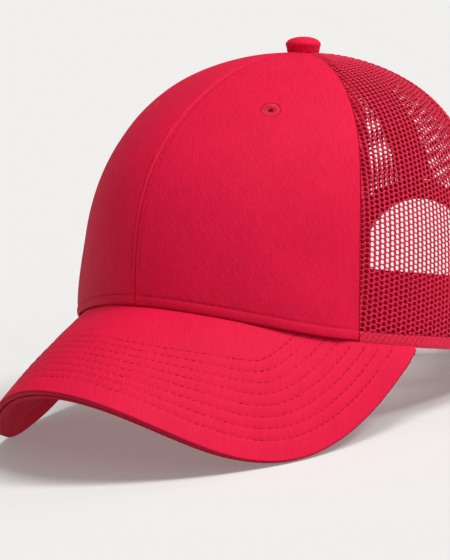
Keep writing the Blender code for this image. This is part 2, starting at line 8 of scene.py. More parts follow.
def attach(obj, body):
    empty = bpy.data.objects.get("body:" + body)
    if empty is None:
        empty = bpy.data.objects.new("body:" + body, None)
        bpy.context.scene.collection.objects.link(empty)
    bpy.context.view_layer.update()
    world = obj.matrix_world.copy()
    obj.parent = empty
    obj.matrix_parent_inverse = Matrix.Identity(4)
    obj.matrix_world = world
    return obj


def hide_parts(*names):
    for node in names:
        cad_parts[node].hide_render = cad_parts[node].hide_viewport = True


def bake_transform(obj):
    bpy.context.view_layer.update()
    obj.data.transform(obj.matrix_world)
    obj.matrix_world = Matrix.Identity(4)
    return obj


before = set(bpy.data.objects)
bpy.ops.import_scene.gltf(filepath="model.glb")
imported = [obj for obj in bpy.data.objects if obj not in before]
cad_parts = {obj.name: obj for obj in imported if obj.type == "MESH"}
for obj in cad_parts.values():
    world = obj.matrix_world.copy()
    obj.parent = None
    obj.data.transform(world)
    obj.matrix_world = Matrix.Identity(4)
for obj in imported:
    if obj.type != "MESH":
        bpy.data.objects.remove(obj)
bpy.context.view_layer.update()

# Looks of the trucker mesh cap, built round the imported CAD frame. Lengths below are
# millimetres in the crown frame (+Z up through the top button, -Y over the visor,
# +X the wearer's left); place() carries them to the frame's metres.

# ------------------------------------------------ the CAD's crown, repeated
HEM_HALF_WIDTH, HEM_FRONT, HEM_REAR = 86.6, 101.2, 106.2
HEM_SHAPE_FRONT, HEM_SHAPE_REAR = 1.81, 2.05
HEM_TILT, HEM_DROP, TEMPLE_DIP = 7.2, 6.2, 1.1
BUTTON_Y, CROWN_HEIGHT = 9.3, 117.6
POWER_OUT, POWER_UP = (2.0, 2.29, 1.9), (2.83, 2.62, 2.30)
SWELL_LOW, SWELL_HIGH = (-0.033, 0.047), (0.011, -0.029)
SIDE_SEAM_HEM, SIDE_SEAM_TOP, SIDE_SEAM_BOW, REAR_SEAM = 59.8, 63.1, 2.6, 120.5
TIP_THETA, HEM_GAP, FABRIC = 87.9, 0.35, 0.9
ARCH_RADIUS, ARCH_SPRING_Z, BINDING_WIDTH = 35.0, 15.0, 9.0
VISOR_HALF_WIDTH, VISOR_REACH, VISOR_CENTRE_Y = 85.1, 48.7, -21.2
VISOR_TIP_POWER, VISOR_SIDE_POWER, VISOR_TAIL = 2.5, 1.84, 39.8
VISOR_EDGE_Z, VISOR_CROWNING = (-37.6, 18.4, 5.7, -0.8), 3.2
EYELET_PHI, EYELET_THETA = 31.3, 46.1
STRAP_LOW, STRAP_HIGH = 3.4, 21.4
MID_H = (STRAP_LOW + STRAP_HIGH) / 2
SNAPS = [-15.2, -5.7, 3.8, 13.3]
REST_LEAN = 8.949989614089425
REST_AT = np.array([0.0, 0.026711398735642433, 0.0326857790350914])


def wave(phi, front, side, rear):
    a = (front + rear) / 2
    return (a + side) / 2 + (front - rear) / 2 * np.cos(phi) + (a - side) / 2 * np.cos(2 * phi)


def hem_plan(phi):
    phi = np.asarray(phi, float)
    sx, cy = np.sin(phi), -np.cos(phi)
    n = HEM_SHAPE_REAR + (HEM_SHAPE_FRONT - HEM_SHAPE_REAR) * (1 + np.cos(phi)) / 2
    length = np.where(cy > 0, HEM_REAR, HEM_FRONT)
    r = (np.abs(sx / HEM_HALF_WIDTH) ** n + np.abs(cy / length) ** n) ** (-1 / n)
    return r * sx, r * cy


def hem(phi):
    x, y = hem_plan(phi)
    a = np.abs(np.degrees(phi))
    s = np.clip(a / 55, 0, 1)
    s = s * s * (3 - 2 * s)
    z = -HEM_DROP * s - TEMPLE_DIP * np.exp(-(((a - 66) / 22) ** 2)) * np.clip(a / 30, 0, 1) ** 2
    return np.stack([x, y, z + 0 * x], -1)


def lean(p, degrees):
    c, s = math.cos(math.radians(degrees)), math.sin(math.radians(degrees))
    p = np.asarray(p, float)
    return np.stack([p[..., 0], p[..., 1] * c + p[..., 2] * s, -p[..., 1] * s + p[..., 2] * c], -1)


def place(p):
    """Crown-frame millimetres to the frame's metres, in the resting pose."""
    return lean(p, REST_LEAN) * 0.001 + REST_AT


def crown(phi, theta):
    phi, theta = np.broadcast_arrays(np.asarray(phi, float), np.asarray(theta, float))
    base = lean(hem(phi), HEM_TILT)
    out, up = wave(phi, *POWER_OUT), wave(phi, *POWER_UP)
    low = wave(phi, SWELL_LOW[0], SWELL_LOW[1], SWELL_LOW[1])
    high = wave(phi, SWELL_HIGH[0], SWELL_HIGH[1], SWELL_HIGH[1])
    c, s = np.clip(np.cos(theta), 0, 1), np.clip(np.sin(theta), 0, 1)
    f = c ** (2 / out) + low * np.sin(2 * theta) ** 2 * np.sqrt(c) + high * np.sin(2 * theta) * np.sin(4 * theta)
    g = s ** (2 / up)
    return np.stack(
        [base[..., 0] * f, BUTTON_Y + (base[..., 1] - BUTTON_Y) * f, base[..., 2] * (1 - g) + CROWN_HEIGHT * g], -1
    )


def unit(v):
    return v / np.maximum(np.linalg.norm(v, axis=-1, keepdims=True), 1e-12)


def crown_normal(phi, theta):
    h = 0.004
    t0, t1 = np.clip(theta - h, 0.001, 1.55), np.clip(theta + h, 0.001, 1.55)
    return unit(np.cross(crown(phi + h, theta) - crown(phi - h, theta), crown(phi, t1) - crown(phi, t0)))


def shell(phi, theta, depth):
    phi, theta, depth = np.broadcast_arrays(np.asarray(phi, float), np.asarray(theta, float), np.asarray(depth, float))
    return crown(phi, theta) - crown_normal(phi, theta) * depth[..., None]


TABLE = np.linspace(0, math.pi / 2, 300)


def theta_at(phi, height):
    """How far up the meridian at phi lies the point this many mm above the hem."""
    phi, height = np.broadcast_arrays(np.asarray(phi, float), np.asarray(height, float))
    flat, level = phi.reshape(-1), height.reshape(-1)
    out = np.empty(flat.shape)
    line = crown(flat[:, None], TABLE[None, :])
    run = np.concatenate([np.zeros((len(flat), 1)), np.cumsum(np.linalg.norm(np.diff(line, axis=1), axis=2), axis=1)], 1)
    for i in range(len(flat)):
        out[i] = np.interp(level[i], run[i], TABLE)
    return out.reshape(phi.shape)


def rear_angles(x, z, depth, phi, theta):
    """phi and theta of the rear surface at this x and z, starting from a guess."""
    q = np.stack([phi, theta], -1).astype(float)
    h = 1e-4
    for _ in range(30):
        p = shell(q[:, 0], q[:, 1], depth)
        miss = np.stack([p[:, 0] - x, p[:, 2] - z], -1)
        if np.abs(miss).max() < 1e-4:
            break
        a = (shell(q[:, 0] + h, q[:, 1], depth) - p) / h
        b = (shell(q[:, 0], q[:, 1] + h, depth) - p) / h
        det = a[:, 0] * b[:, 2] - a[:, 2] * b[:, 0]
        d0 = (miss[:, 0] * b[:, 2] - miss[:, 1] * b[:, 0]) / det
        d1 = (a[:, 0] * miss[:, 1] - a[:, 2] * miss[:, 0]) / det
        q[:, 0] -= np.clip(d0, -0.15, 0.15)
        q[:, 1] = np.clip(q[:, 1] - np.clip(d1, -0.15, 0.15), 0.001, 1.5)
    return q[:, 0], q[:, 1]


def rear_point(x, z, depth):
    x, z, depth = (np.asarray(v, float) for v in np.broadcast_arrays(x, z, depth))
    shape = x.shape
    x, z, depth = x.reshape(-1), z.reshape(-1), depth.reshape(-1)
    f, t = rear_angles(x, z, depth, math.pi - x / 100.0, np.full(x.shape, 0.35))
    return shell(f, t, depth).reshape(shape + (3,))


def side_seam(theta):
    u = np.sin(theta) ** 2
    return np.radians(SIDE_SEAM_HEM + (SIDE_SEAM_TOP - SIDE_SEAM_HEM) * u + SIDE_SEAM_BOW * 4 * u * (1 - u))


def centre_line(theta):
    return 0.0 * np.asarray(theta, float)


def rear_side(theta):
    return np.full(np.shape(theta), math.radians(REAR_SEAM))


def rear_centre(theta):
    return np.full(np.shape(theta), math.pi)


def reach(phi, theta):
    p = crown(phi, theta)
    return np.hypot(p[..., 0], p[..., 1] - BUTTON_Y)


def smooth(a, b, x):
    t = np.clip((x - a) / (b - a), 0, 1)
    return t * t * (3 - 2 * t)


def bell(x, at, width):
    return np.exp(-(((x - at) / width) ** 2))


def ripple(x, y, seed, size):
    """Smooth repeatable noise from -1 to 1 on a lattice of this size."""
    x, y = np.asarray(x, float) / size, np.asarray(y, float) / size
    i, j = np.floor(x), np.floor(y)
    fx, fy = x - i, y - j
    fx, fy = fx * fx * (3 - 2 * fx), fy * fy * (3 - 2 * fy)

    def rnd(a, b):
        v = np.sin(a * 127.1 + b * 311.7 + seed * 74.7) * 43758.5453
        return 2 * (v - np.floor(v)) - 1

    return (rnd(i, j) * (1 - fx) + rnd(i + 1, j) * fx) * (1 - fy) + (rnd(i, j + 1) * (1 - fx) + rnd(i + 1, j + 1) * fx) * fy


# ------------------------------------------------------------------ materials
class Nodes:
    """A short way to write a node tree."""

    def __init__(self, name):
        self.mat = bpy.data.materials.new(name)
        self.mat.use_nodes = True
        self.tree = self.mat.node_tree
        self.bsdf = self.tree.nodes["Principled BSDF"]

    def add(self, kind, **values):
        node = self.tree.nodes.new(kind)
        for key, value in values.items():
            setattr(node, key, value)
        return node

    def link(self, a, b):
        if isinstance(a, (int, float)):
            b.default_value = a
        elif isinstance(a, (tuple, list)):
            b.default_value = a
        else:
            self.tree.links.new(a, b)

    def math(self, op, a, b=None, c=None):
        node = self.add("ShaderNodeMath", operation=op)
        for i, v in enumerate((a, b, c)):
            if v is not None:
                self.link(v, node.inputs[i])
        return node.outputs[0]

    def uv(self, name):
        node = self.add("ShaderNodeUVMap", uv_map=name)
        sep = self.add("ShaderNodeSeparateXYZ")
        self.link(node.outputs["UV"], sep.inputs[0])
        return sep.outputs[0], sep.outputs[1]

    def vector(self, x, y, z=0.0):
        node = self.add("ShaderNodeCombineXYZ")
        self.link(x, node.inputs[0])
        self.link(y, node.inputs[1])
        self.link(z, node.inputs[2])
        return node.outputs[0]

    def noise(self, vector, scale, detail=2.0, rough=0.5):
        node = self.add("ShaderNodeTexNoise")
        self.link(vector, node.inputs["Vector"])
        node.inputs["Scale"].default_value = scale
        node.inputs["Detail"].default_value = detail
        node.inputs["Roughness"].default_value = rough
        return node.outputs[0]

    def mix(self, fac, a, b):
        node = self.add("ShaderNodeMix", data_type="RGBA")
        self.link(fac, node.inputs[0])
        self.link(a, node.inputs[6])
        self.link(b, node.inputs[7])
        return node.outputs[2]

    def span(self, value, a, b, c, d):
        node = self.add("ShaderNodeMapRange")
        self.link(value, node.inputs[0])
        for i, v in enumerate((a, b, c, d)):
            node.inputs[i + 1].default_value = v
        return node.outputs[0]

    def bump(self, height, distance, strength=1.0, normal=None):
        node = self.add("ShaderNodeBump")
        node.inputs["Strength"].default_value = strength
        node.inputs["Distance"].default_value = distance
        self.link(height, node.inputs["Height"])
        if normal is not None:
            self.link(normal, node.inputs["Normal"])
        return node.outputs[0]

    def principled(self, **values):
        for key, value in values.items():
            self.link(value, self.bsdf.inputs[key.replace("_", " ")])
        return self.mat


def dark(colour, k):
    return tuple(c * k for c in colour[:3]) + (1.0,)


def cloth(name, colour, spec=0.09, rough=0.62, sheen=0.0, pitch=0.98, angle=112.0, depth=0.00008, valley_shade_and_slub=0.10, pucker=0.0):
    """Twill: slanting wales with slubby yarn, their valleys painted darker (painted shade); where pucker
    is set, small folds run across the stitch rows, in the second UV map, and the cloth within 0.75 mm of
    the visor's edge is painted darker (painted shade)."""
    n = Nodes(name)
    u, v = n.uv("weave")
    a = math.radians(angle)
    across = n.math("ADD", n.math("MULTIPLY", u, math.sin(a)), n.math("MULTIPLY", v, -math.cos(a)))
    along = n.math("ADD", n.math("MULTIPLY", u, math.cos(a)), n.math("MULTIPLY", v, math.sin(a)))
    wander = n.noise(n.vector(u, v), 0.35, 1.0)
    wale = n.math("SINE", n.math("ADD", n.math("MULTIPLY", across, 2 * math.pi / pitch), n.math("MULTIPLY", wander, 9.0)))
    yarn = n.math("SINE", n.math("MULTIPLY", v, 2 * math.pi / 0.47))
    slub = n.noise(n.vector(n.math("MULTIPLY", across, 0.9), n.math("MULTIPLY", along, 0.16)), 1.0, 3.0, 0.6)
    fuzz = n.noise(n.vector(u, v), 3.2, 2.0, 0.7)
    cloud = n.noise(n.vector(u, v), 0.035, 2.0)
    height = n.math("ADD", n.math("MULTIPLY", wale, 0.5), n.math("MULTIPLY", yarn, 0.16))
    height = n.math("ADD", height, n.math("MULTIPLY", slub, 1.3))
    height = n.math("ADD", height, n.math("MULTIPLY", fuzz, 0.7))
    normal = n.bump(height, depth)
    rim = 1.0
    if pucker:
        s, d = n.uv("pucker")
        # painted shade: the cloth within 0.75 mm of the visor's edge is darkened down to 0.56 of its colour
        rim = n.span(d, 0.2, 0.75, 0.56, 1.0)
        fold = n.noise(n.vector(n.math("MULTIPLY", s, 0.62), n.math("MULTIPLY", d, 0.11)), 1.0, 2.0, 0.55)
        fine = n.noise(n.vector(n.math("MULTIPLY", u, 0.95), n.math("MULTIPLY", v, 0.13)), 1.0, 2.0, 0.5)
        sewn = n.math("MULTIPLY", n.span(d, 5.0, 9.0, 0.25, 1.0), n.span(d, 40.0, 52.0, 1.0, 0.3))
        folds = n.math("MULTIPLY", n.math("ADD", fold, n.math("MULTIPLY", fine, 0.7)), sewn)
        normal = n.bump(folds, pucker, normal=normal)
    # painted shade: the wale valleys are darker; the slubs and the cloud vary the yarn's own tone
    shade = n.math("ADD", n.span(wale, -1, 1, 1 - valley_shade_and_slub * 0.6, 1 + valley_shade_and_slub * 0.3), n.span(slub, 0.3, 0.7, -valley_shade_and_slub, valley_shade_and_slub * 0.7))
    shade = n.math("ADD", shade, n.span(cloud, 0.3, 0.7, -0.04, 0.04))
    shade = n.math("MULTIPLY", shade, rim)
    colour2 = n.add("ShaderNodeVectorMath", operation="SCALE")
    colour2.inputs[0].default_value = colour[:3]
    n.link(shade, colour2.inputs["Scale"])
    roughness = n.span(fuzz, 0.2, 0.8, rough - 0.06, min(1.0, rough + 0.08))
    n.bsdf.inputs["Sheen Roughness"].default_value = 0.45
    n.bsdf.inputs["Sheen Tint"].default_value = (1.0, 0.12, 0.22, 1.0)
    return n.principled(
        Base_Color=colour2.outputs[0], Roughness=roughness, Specular_IOR_Level=spec, Sheen_Weight=sheen, Normal=normal
    )


def knit(name, colour, spec=0.35, rough=0.45, painted_strand_light=False):
    """Slightly shiny filament yarn, finely lined along each strand."""
    n = Nodes(name)
    u, v = n.uv("weave")
    lines = n.noise(n.vector(n.math("MULTIPLY", u, 1.0), n.math("MULTIPLY", v, 1.0)), 4.5, 3.0, 0.7)
    strand = n.math("SINE", n.math("MULTIPLY", n.math("ADD", u, n.math("MULTIPLY", v, 1.1)), 2 * math.pi / 0.26))
    strand2 = n.math("SINE", n.math("MULTIPLY", n.math("SUBTRACT", u, n.math("MULTIPLY", v, 1.1)), 2 * math.pi / 0.31))
    cloud = n.noise(n.vector(u, v), 0.05, 2.0)
    height = n.math("ADD", n.math("MULTIPLY", lines, 1.6), n.math("MULTIPLY", n.math("ADD", strand, strand2), 0.25))
    shade = n.math("ADD", n.span(lines, 0.25, 0.75, 0.80, 1.16), n.span(cloud, 0.3, 0.7, -0.05, 0.05))
    if painted_strand_light:
        # painted light: the waving strands are painted lighter as if catching the light, while the links between them,
        # which lie deeper, and the hole walls are painted darker as shade
        shade = n.math("MULTIPLY", shade, n.uv("strand")[0])
    tint = n.add("ShaderNodeVectorMath", operation="SCALE")
    tint.inputs[0].default_value = colour[:3]
    n.link(shade, tint.inputs["Scale"])
    n.bsdf.inputs["Sheen Roughness"].default_value = 0.4
    n.bsdf.inputs["Sheen Tint"].default_value = (1.0, 0.3, 0.4, 1.0)
    return n.principled(
        Base_Color=tint.outputs[0],
        Roughness=n.span(lines, 0.2, 0.8, rough - 0.08, rough + 0.14),
        Specular_IOR_Level=spec,
        Sheen_Weight=0.15,
        Normal=n.bump(height, 0.00006),
    )


def needled(name, colour):
    """Sewing thread whose ends sink into the needle holes and are painted darker there as painted shade; u runs from -1
    to 1.
    """
    n = Nodes(name)
    u, v = n.uv("weave")
    # painted shade: the thread's ends are darkened to 0.34 of its colour
    end = n.span(n.math("ABSOLUTE", u), 0.45, 0.95, 1.0, 0.34)
    ply = n.math("SINE", n.math("MULTIPLY", n.math("ADD", u, n.math("MULTIPLY", v, 0.8)), 2 * math.pi / 0.16))
    shade = n.math("MULTIPLY", end, n.span(ply, -1, 1, 0.85, 1.05))
    tint = n.add("ShaderNodeVectorMath", operation="SCALE")
    tint.inputs[0].default_value = colour[:3]
    n.link(shade, tint.inputs["Scale"])
    return n.principled(Base_Color=tint.outputs[0], Roughness=0.6, Specular_IOR_Level=0.2, Normal=n.bump(ply, 0.00004))


def ribbon(name, colour, pitch=1.1, spec=0.15, rough=0.7, depth=0.00010, chevron=1.0):
    """Woven tape: a herringbone of small slants across its width."""
    n = Nodes(name)
    u, v = n.uv("weave")
    fold = n.math("ABSOLUTE", n.math("SUBTRACT", n.math("FRACT", n.math("DIVIDE", u, 6.0)), 0.5))
    slant = n.math("ADD", v, n.math("MULTIPLY", fold, 6.0 * chevron))
    rib = n.math("SINE", n.math("MULTIPLY", slant, 2 * math.pi / pitch))
    grain = n.noise(n.vector(u, v), 2.2, 3.0, 0.6)
    height = n.math("ADD", n.math("MULTIPLY", rib, 0.5), n.math("MULTIPLY", grain, 0.9))
    shade = n.math("ADD", n.span(rib, -1, 1, 0.90, 1.06), n.span(grain, 0.3, 0.7, -0.08, 0.08))
    tint = n.add("ShaderNodeVectorMath", operation="SCALE")
    tint.inputs[0].default_value = colour[:3]
    n.link(shade, tint.inputs["Scale"])
    return n.principled(
        Base_Color=tint.outputs[0],
        Roughness=n.span(grain, 0.2, 0.8, rough - 0.05, rough + 0.1),
        Specular_IOR_Level=spec,
        Sheen_Weight=0.1,
        Normal=n.bump(height, depth),
    )


def gauze(name, colour, light):
    """Stiffened open plain weave: squared yarns with paler glue between them."""
    n = Nodes(name)
    u, v = n.uv("weave")
    a = n.math("SINE", n.math("MULTIPLY", u, 2 * math.pi / 1.25))
    b = n.math("SINE", n.math("MULTIPLY", v, 2 * math.pi / 1.25))
    over = n.math("MAXIMUM", a, b)
    grain = n.noise(n.vector(u, v), 1.6, 3.0, 0.6)
    height = n.math("ADD", n.math("MULTIPLY", over, 0.7), n.math("MULTIPLY", grain, 0.6))
    hue = n.mix(n.span(over, -0.4, 0.8, 0.0, 1.0), light, colour)
    return n.principled(
        Base_Color=hue,
        Roughness=n.span(grain, 0.2, 0.8, 0.72, 0.92),
        Specular_IOR_Level=0.2,
        Normal=n.bump(height, 0.00012),
    )


def plastic(name, colour, rough=0.38):
    """Moulded plastic with a fine spark-eroded grain and slight flow marks."""
    n = Nodes(name)
    coord = n.add("ShaderNodeTexCoord").outputs["Object"]
    grain = n.noise(coord, 2600.0, 3.0, 0.6)
    flow = n.noise(coord, 60.0, 2.0, 0.5)
    hue = n.mix(n.span(flow, 0.3, 0.7, 0.0, 1.0), dark(colour, 0.92), dark(colour, 1.05))
    return n.principled(
        Base_Color=hue,
        Roughness=n.span(grain, 0.2, 0.8, rough - 0.05, rough + 0.12),
        Specular_IOR_Level=0.4,
        Normal=n.bump(grain, 0.00002),
    )


def steel(name):
    n = Nodes(name)
    coord = n.add("ShaderNodeTexCoord").outputs["Object"]
    turn = n.noise(coord, 900.0, 4.0, 0.7)
    hue = n.mix(n.span(turn, 0.3, 0.7, 0.0, 1.0), (0.50, 0.50, 0.52, 1), (0.66, 0.66, 0.68, 1))
    return n.principled(
        Base_Color=hue, Roughness=n.span(turn, 0.2, 0.8, 0.26, 0.45), Metallic=1.0, Normal=n.bump(turn, 0.00001)
    )


RED = (0.72, 0.0070, 0.050, 1.0)
TWILL = cloth("twill", RED)
TWILL_VISOR = cloth("twill_visor", dark(RED, 0.955), angle=-50.0, pitch=1.15, depth=0.00006, valley_shade_and_slub=0.065, pucker=0.00020)
TWILL_UNDER = cloth("twill_under", dark(RED, 0.95), angle=-50.0, pitch=1.15, pucker=0.00018)
BUTTON_CLOTH = cloth("twill_button", dark(RED, 1.10), depth=0.00006)
MESH = knit("mesh_knit", (0.72, 0.0060, 0.050, 1.0), spec=0.22, painted_strand_light=True)
HEM = knit("mesh_hem_knit", (0.74, 0.0070, 0.052, 1.0), spec=0.22)
TAPE = ribbon("seam_tape", (0.62, 0.0012, 0.038, 1.0))
BAND = cloth("sweatband", (0.74, 0.0018, 0.046, 1.0), pitch=0.9, angle=40.0, depth=0.00009)
BUCK = gauze("buckram", (0.45, 0.004, 0.03, 1.0), (0.62, 0.10, 0.13, 1.0))
THREAD = knit("thread", (0.62, 0.0012, 0.038, 1.0), spec=0.25, rough=0.55)
SEWN = needled("sewn_thread", (0.60, 0.0010, 0.036, 1.0))
SATIN = knit("satin_thread", dark(RED, 1.03), spec=0.3, rough=0.5)
SNAP = plastic("snap_plastic", (0.52, 0.0015, 0.030, 1.0))
BOARD = plastic("visor_board", (0.75, 0.74, 0.72, 1.0), 0.5)
STEEL = steel("steel_prong")


# --------------------------------------------------------------- mesh helpers
def mesh_object(name, points, faces, mat, uvs=None, smooth_shade=True, sharp=None):
    """points in crown millimetres; faces an array of quads or a list."""
    pts = place(np.asarray(points, float))
    me = bpy.data.meshes.new(name)
    if isinstance(faces, np.ndarray):
        k = faces.shape[1]
        me.vertices.add(len(pts))
        me.vertices.foreach_set("co", pts.astype(np.float32).ravel())
        me.loops.add(faces.size)
        me.loops.foreach_set("vertex_index", faces.astype(np.int32).ravel())
        me.polygons.add(len(faces))
        me.polygons.foreach_set("loop_start", np.arange(0, faces.size, k, dtype=np.int32))
        me.polygons.foreach_set("loop_total", np.full(len(faces), k, dtype=np.int32))
        me.update(calc_edges=True)
        me.validate()
    else:
        me.from_pydata([tuple(p) for p in pts], [], [tuple(int(i) for i in f) for f in faces])
        me.update()
    for layer, uv in (uvs or {}).items():
        data = me.uv_layers.new(name=layer)
        idx = np.empty(len(me.loops), np.int32)
        me.loops.foreach_get("vertex_index", idx)
        data.data.foreach_set("uv", np.asarray(uv, np.float32).reshape(-1, 2)[idx].ravel())
    me.materials.append(mat)
    if smooth_shade:
        me.shade_smooth()
        if sharp:
            me.set_sharp_from_angle(angle=math.radians(sharp))
    ob = bpy.data.objects.new(name, me)
    bpy.context.scene.collection.objects.link(ob)
    return ob


def sheet_faces(n, m, base, flip):
    i, j = np.meshgrid(np.arange(n - 1), np.arange(m - 1), indexing="ij")
    a = base + i * m + j
    q = np.stack([a, a + m, a + m + 1, a + 1], -1).reshape(-1, 4)
    return q[:, ::-1] if flip else q


def slab(name, outer, inner, mat, uvs=None, turn=False, **kw):
    """A closed sheet between two matching grids of points; turn swaps its sides."""
    n, m = outer.shape[:2]
    k = n * m
    rim = (
        [(i, 0) for i in range(n)]
        + [(n - 1, j) for j in range(1, m)]
        + [(i, m - 1) for i in range(n - 2, -1, -1)]
        + [(0, j) for j in range(m - 2, 0, -1)]
    )
    ring = np.array([i * m + j for i, j in rim])
    nxt = np.roll(ring, -1)
    side = np.stack([nxt, ring, ring + k, nxt + k], -1)
    faces = np.concatenate([sheet_faces(n, m, 0, turn), sheet_faces(n, m, k, not turn), side[:, ::-1] if turn else side])
    both = {key: np.concatenate([np.asarray(v).reshape(-1, 2)] * 2) for key, v in (uvs or {}).items()}
    return mesh_object(name, np.concatenate([outer.reshape(-1, 3), inner.reshape(-1, 3)]), faces, mat, both, **kw)


def ride(ob, *nodes, body="cap", slot=None):
    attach(ob, body)
    if nodes:
        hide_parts(*nodes)
    return ob


def stitches(name, paths, mat, length=2.7, gap=0.6, radius=0.2, lift=0.05, body="cap", slot="embroidery", slack=0.35):
    """Threads lying along paths; each path is (points, normals), in order."""
    ring = np.linspace(0, 2 * math.pi, 6, endpoint=False)
    rows = np.array([-1.0, -0.82, -0.4, 0.0, 0.4, 0.82, 1.0])
    fat = np.array([0.15, 0.75, 1.0, 1.0, 1.0, 0.75, 0.15])
    bow = np.array([-1.0, -0.35, 0.35, 0.6, 0.35, -0.35, -1.0])
    V, F, U = [], [], []
    for pts, nor in paths:
        step = np.linalg.norm(np.diff(pts, axis=0), axis=1)
        run = np.concatenate([[0], np.cumsum(step)])
        count = int((run[-1] + gap) // (length + gap))
        if count < 1:
            continue
        pitch = run[-1] / count
        for i in range(count):
            at = (i + 0.5) * pitch + rows * (pitch - gap) / 2
            c = np.stack([np.interp(at, run, pts[:, k]) for k in range(3)], -1)
            nn = unit(np.stack([np.interp(at, run, nor[:, k]) for k in range(3)], -1))
            tang = unit(np.gradient(c, axis=0))
            side = unit(np.cross(tang, nn))
            c = c + nn * (lift + bow * slack * radius)[:, None]
            base = len(V) * 0 + sum(len(v) for v in V)
            ringpts = (
                c[:, None, :]
                + side[:, None, :] * (np.cos(ring)[None, :, None] * (fat * radius)[:, None, None])
                + nn[:, None, :] * (np.sin(ring)[None, :, None] * (fat * radius * 0.8)[:, None, None])
            )
            V.append(ringpts.reshape(-1, 3))
            k = len(ring)
            a, b = np.meshgrid(np.arange(len(rows) - 1), np.arange(k), indexing="ij")
            p, q = base + a * k + b, base + a * k + (b + 1) % k
            F.append(np.stack([p, q, q + k, p + k], -1).reshape(-1, 4))
            # end caps as two quads each
            for r in (0, len(rows) - 1):
                o = base + r * k
                caps = np.array([[o, o + 1, o + 2, o + 3], [o, o + 3, o + 4, o + 5]])
                F.append(caps[:, ::-1] if r == 0 else caps)
            U.append(np.stack([np.repeat(rows, k), np.tile(ring * radius, len(rows))], -1))
    if not V:
        return None
    ob = mesh_object(name, np.concatenate(V), np.concatenate(F), mat, {"weave": np.concatenate(U)})
    return ride(ob, body=body, slot=slot)


# ------------------------------------------------------------------ crown grid
def grid(a, b, edges, lows, steps, low=HEM_GAP, high=TIP_THETA, gap=0.15, across=40):
    """Angles over a panel between seams a and b, finer near its seams and hem.
    Returns phi, theta, the distance to each seam, the height and the run across."""
    theta = np.linspace(0.001, math.radians(high), 500)
    width = reach((a(theta) + b(theta)) / 2, theta) * np.abs(b(theta) - a(theta))
    wide = np.interp
    lo = a(0.1) + 0.0
    us = np.linspace(0, 1, across)
    cols = []
    sgn = 1.0 if float(b(np.array(0.5))) > float(a(np.array(0.5))) else -1.0
    # column offsets in mm at full width, kept in proportion where the panel is narrow
    full = float(np.max(width))
    mid = np.linspace(edges[-1], full - edges[-1], across)
    offsets = np.concatenate([np.array(edges), mid[1:-1], full - np.array(edges)[::-1]])
    phi, the, dl, dr, hh, run = [], [], [], [], [], []
    for off in offsets:
        w = width
        near, far = off, full - off
        # near the seams offsets stay true mm; elsewhere they scale with the width
        e = edges[-1]
        k = np.clip(w / (2.6 * e), 0, 1) * e
        f = np.where(
            near <= e, near / e * k, np.where(far <= e, w - far / e * k, k + (near - e) / (full - 2 * e) * (w - 2 * k))
        )
        slack = gap + (w - 2 * gap) * f / w
        p = a(theta) + sgn * slack / w * np.abs(b(theta) - a(theta))
        pts = crown(p, theta)
        length = np.concatenate([[0], np.cumsum(np.linalg.norm(np.diff(pts, axis=0), axis=1))])
        base = crown(float(p[0]), 0.0)
        length = length + float(np.linalg.norm(pts[0] - base))
        total = length[-1]
        h = np.concatenate([np.array(lows), np.linspace(lows[-1], total, steps)[1:]])
        h[0] = low
        t = np.interp(h, length, theta)
        phi.append(np.interp(t, theta, p))
        the.append(t)
        dl.append(np.interp(t, theta, slack))
        dr.append(np.interp(t, theta, w - slack))
        run.append(np.interp(t, theta, slack - w / 2))
        hh.append(h)
    return tuple(np.array(x) for x in (phi, the, dl, dr, hh, run))


def neg(f):
    return lambda t: -f(t)


EDGE = [0.0, 0.2, 0.45, 0.8, 1.2, 1.7, 2.2, 2.7, 3.3, 4.0, 5.0, 6.2, 7.5]
LOWS = [0.35, 0.5, 0.8, 1.2, 1.7, 2.3, 3.0, 3.6, 4.1, 4.5, 4.9, 5.3, 5.8, 6.5, 7.5, 9.0]


def front_depth(d_centre, d_side, h, seed, phi, theta):
    """How far the twill's face lies below the crown's outer face."""
    depth = 0.85 * bell(d_centre, 0.0, 0.42) - 0.18 * bell(d_centre, 1.3, 0.7) + 0.14 * bell(d_centre, 2.3, 0.35)
    depth += 0.10 * smooth(2.6, 5.5, d_centre) - 0.10
    depth += 0.70 * bell(d_side, 0.0, 0.6) - 0.10 * bell(d_side, 1.6, 0.9)
    depth += 0.55 * (1 - smooth(0.2, 1.3, h)) - 0.22 * bell(h, 2.7, 1.3) + 0.26 * bell(h, 4.9, 0.45)
    depth -= 1.9 * smooth(36.0, 6.0, h) * smooth(0.0, 13.0, d_side) * smooth(22.0, 44.0, np.degrees(np.abs(phi)))
    fade = smooth(3.0, 10.0, h)
    depth += 0.10 * fade * ripple(phi * 60, theta * 70, seed, 9.0) + 0.16 * fade * ripple(phi * 60, theta * 70, seed + 5, 26.0)
    # small puckers where the hem's topstitching pulls the cloth
    depth += 0.05 * bell(h, 4.9, 2.2) * ripple(phi * 95, h * 0.2, seed + 9, 1.7)
    return depth


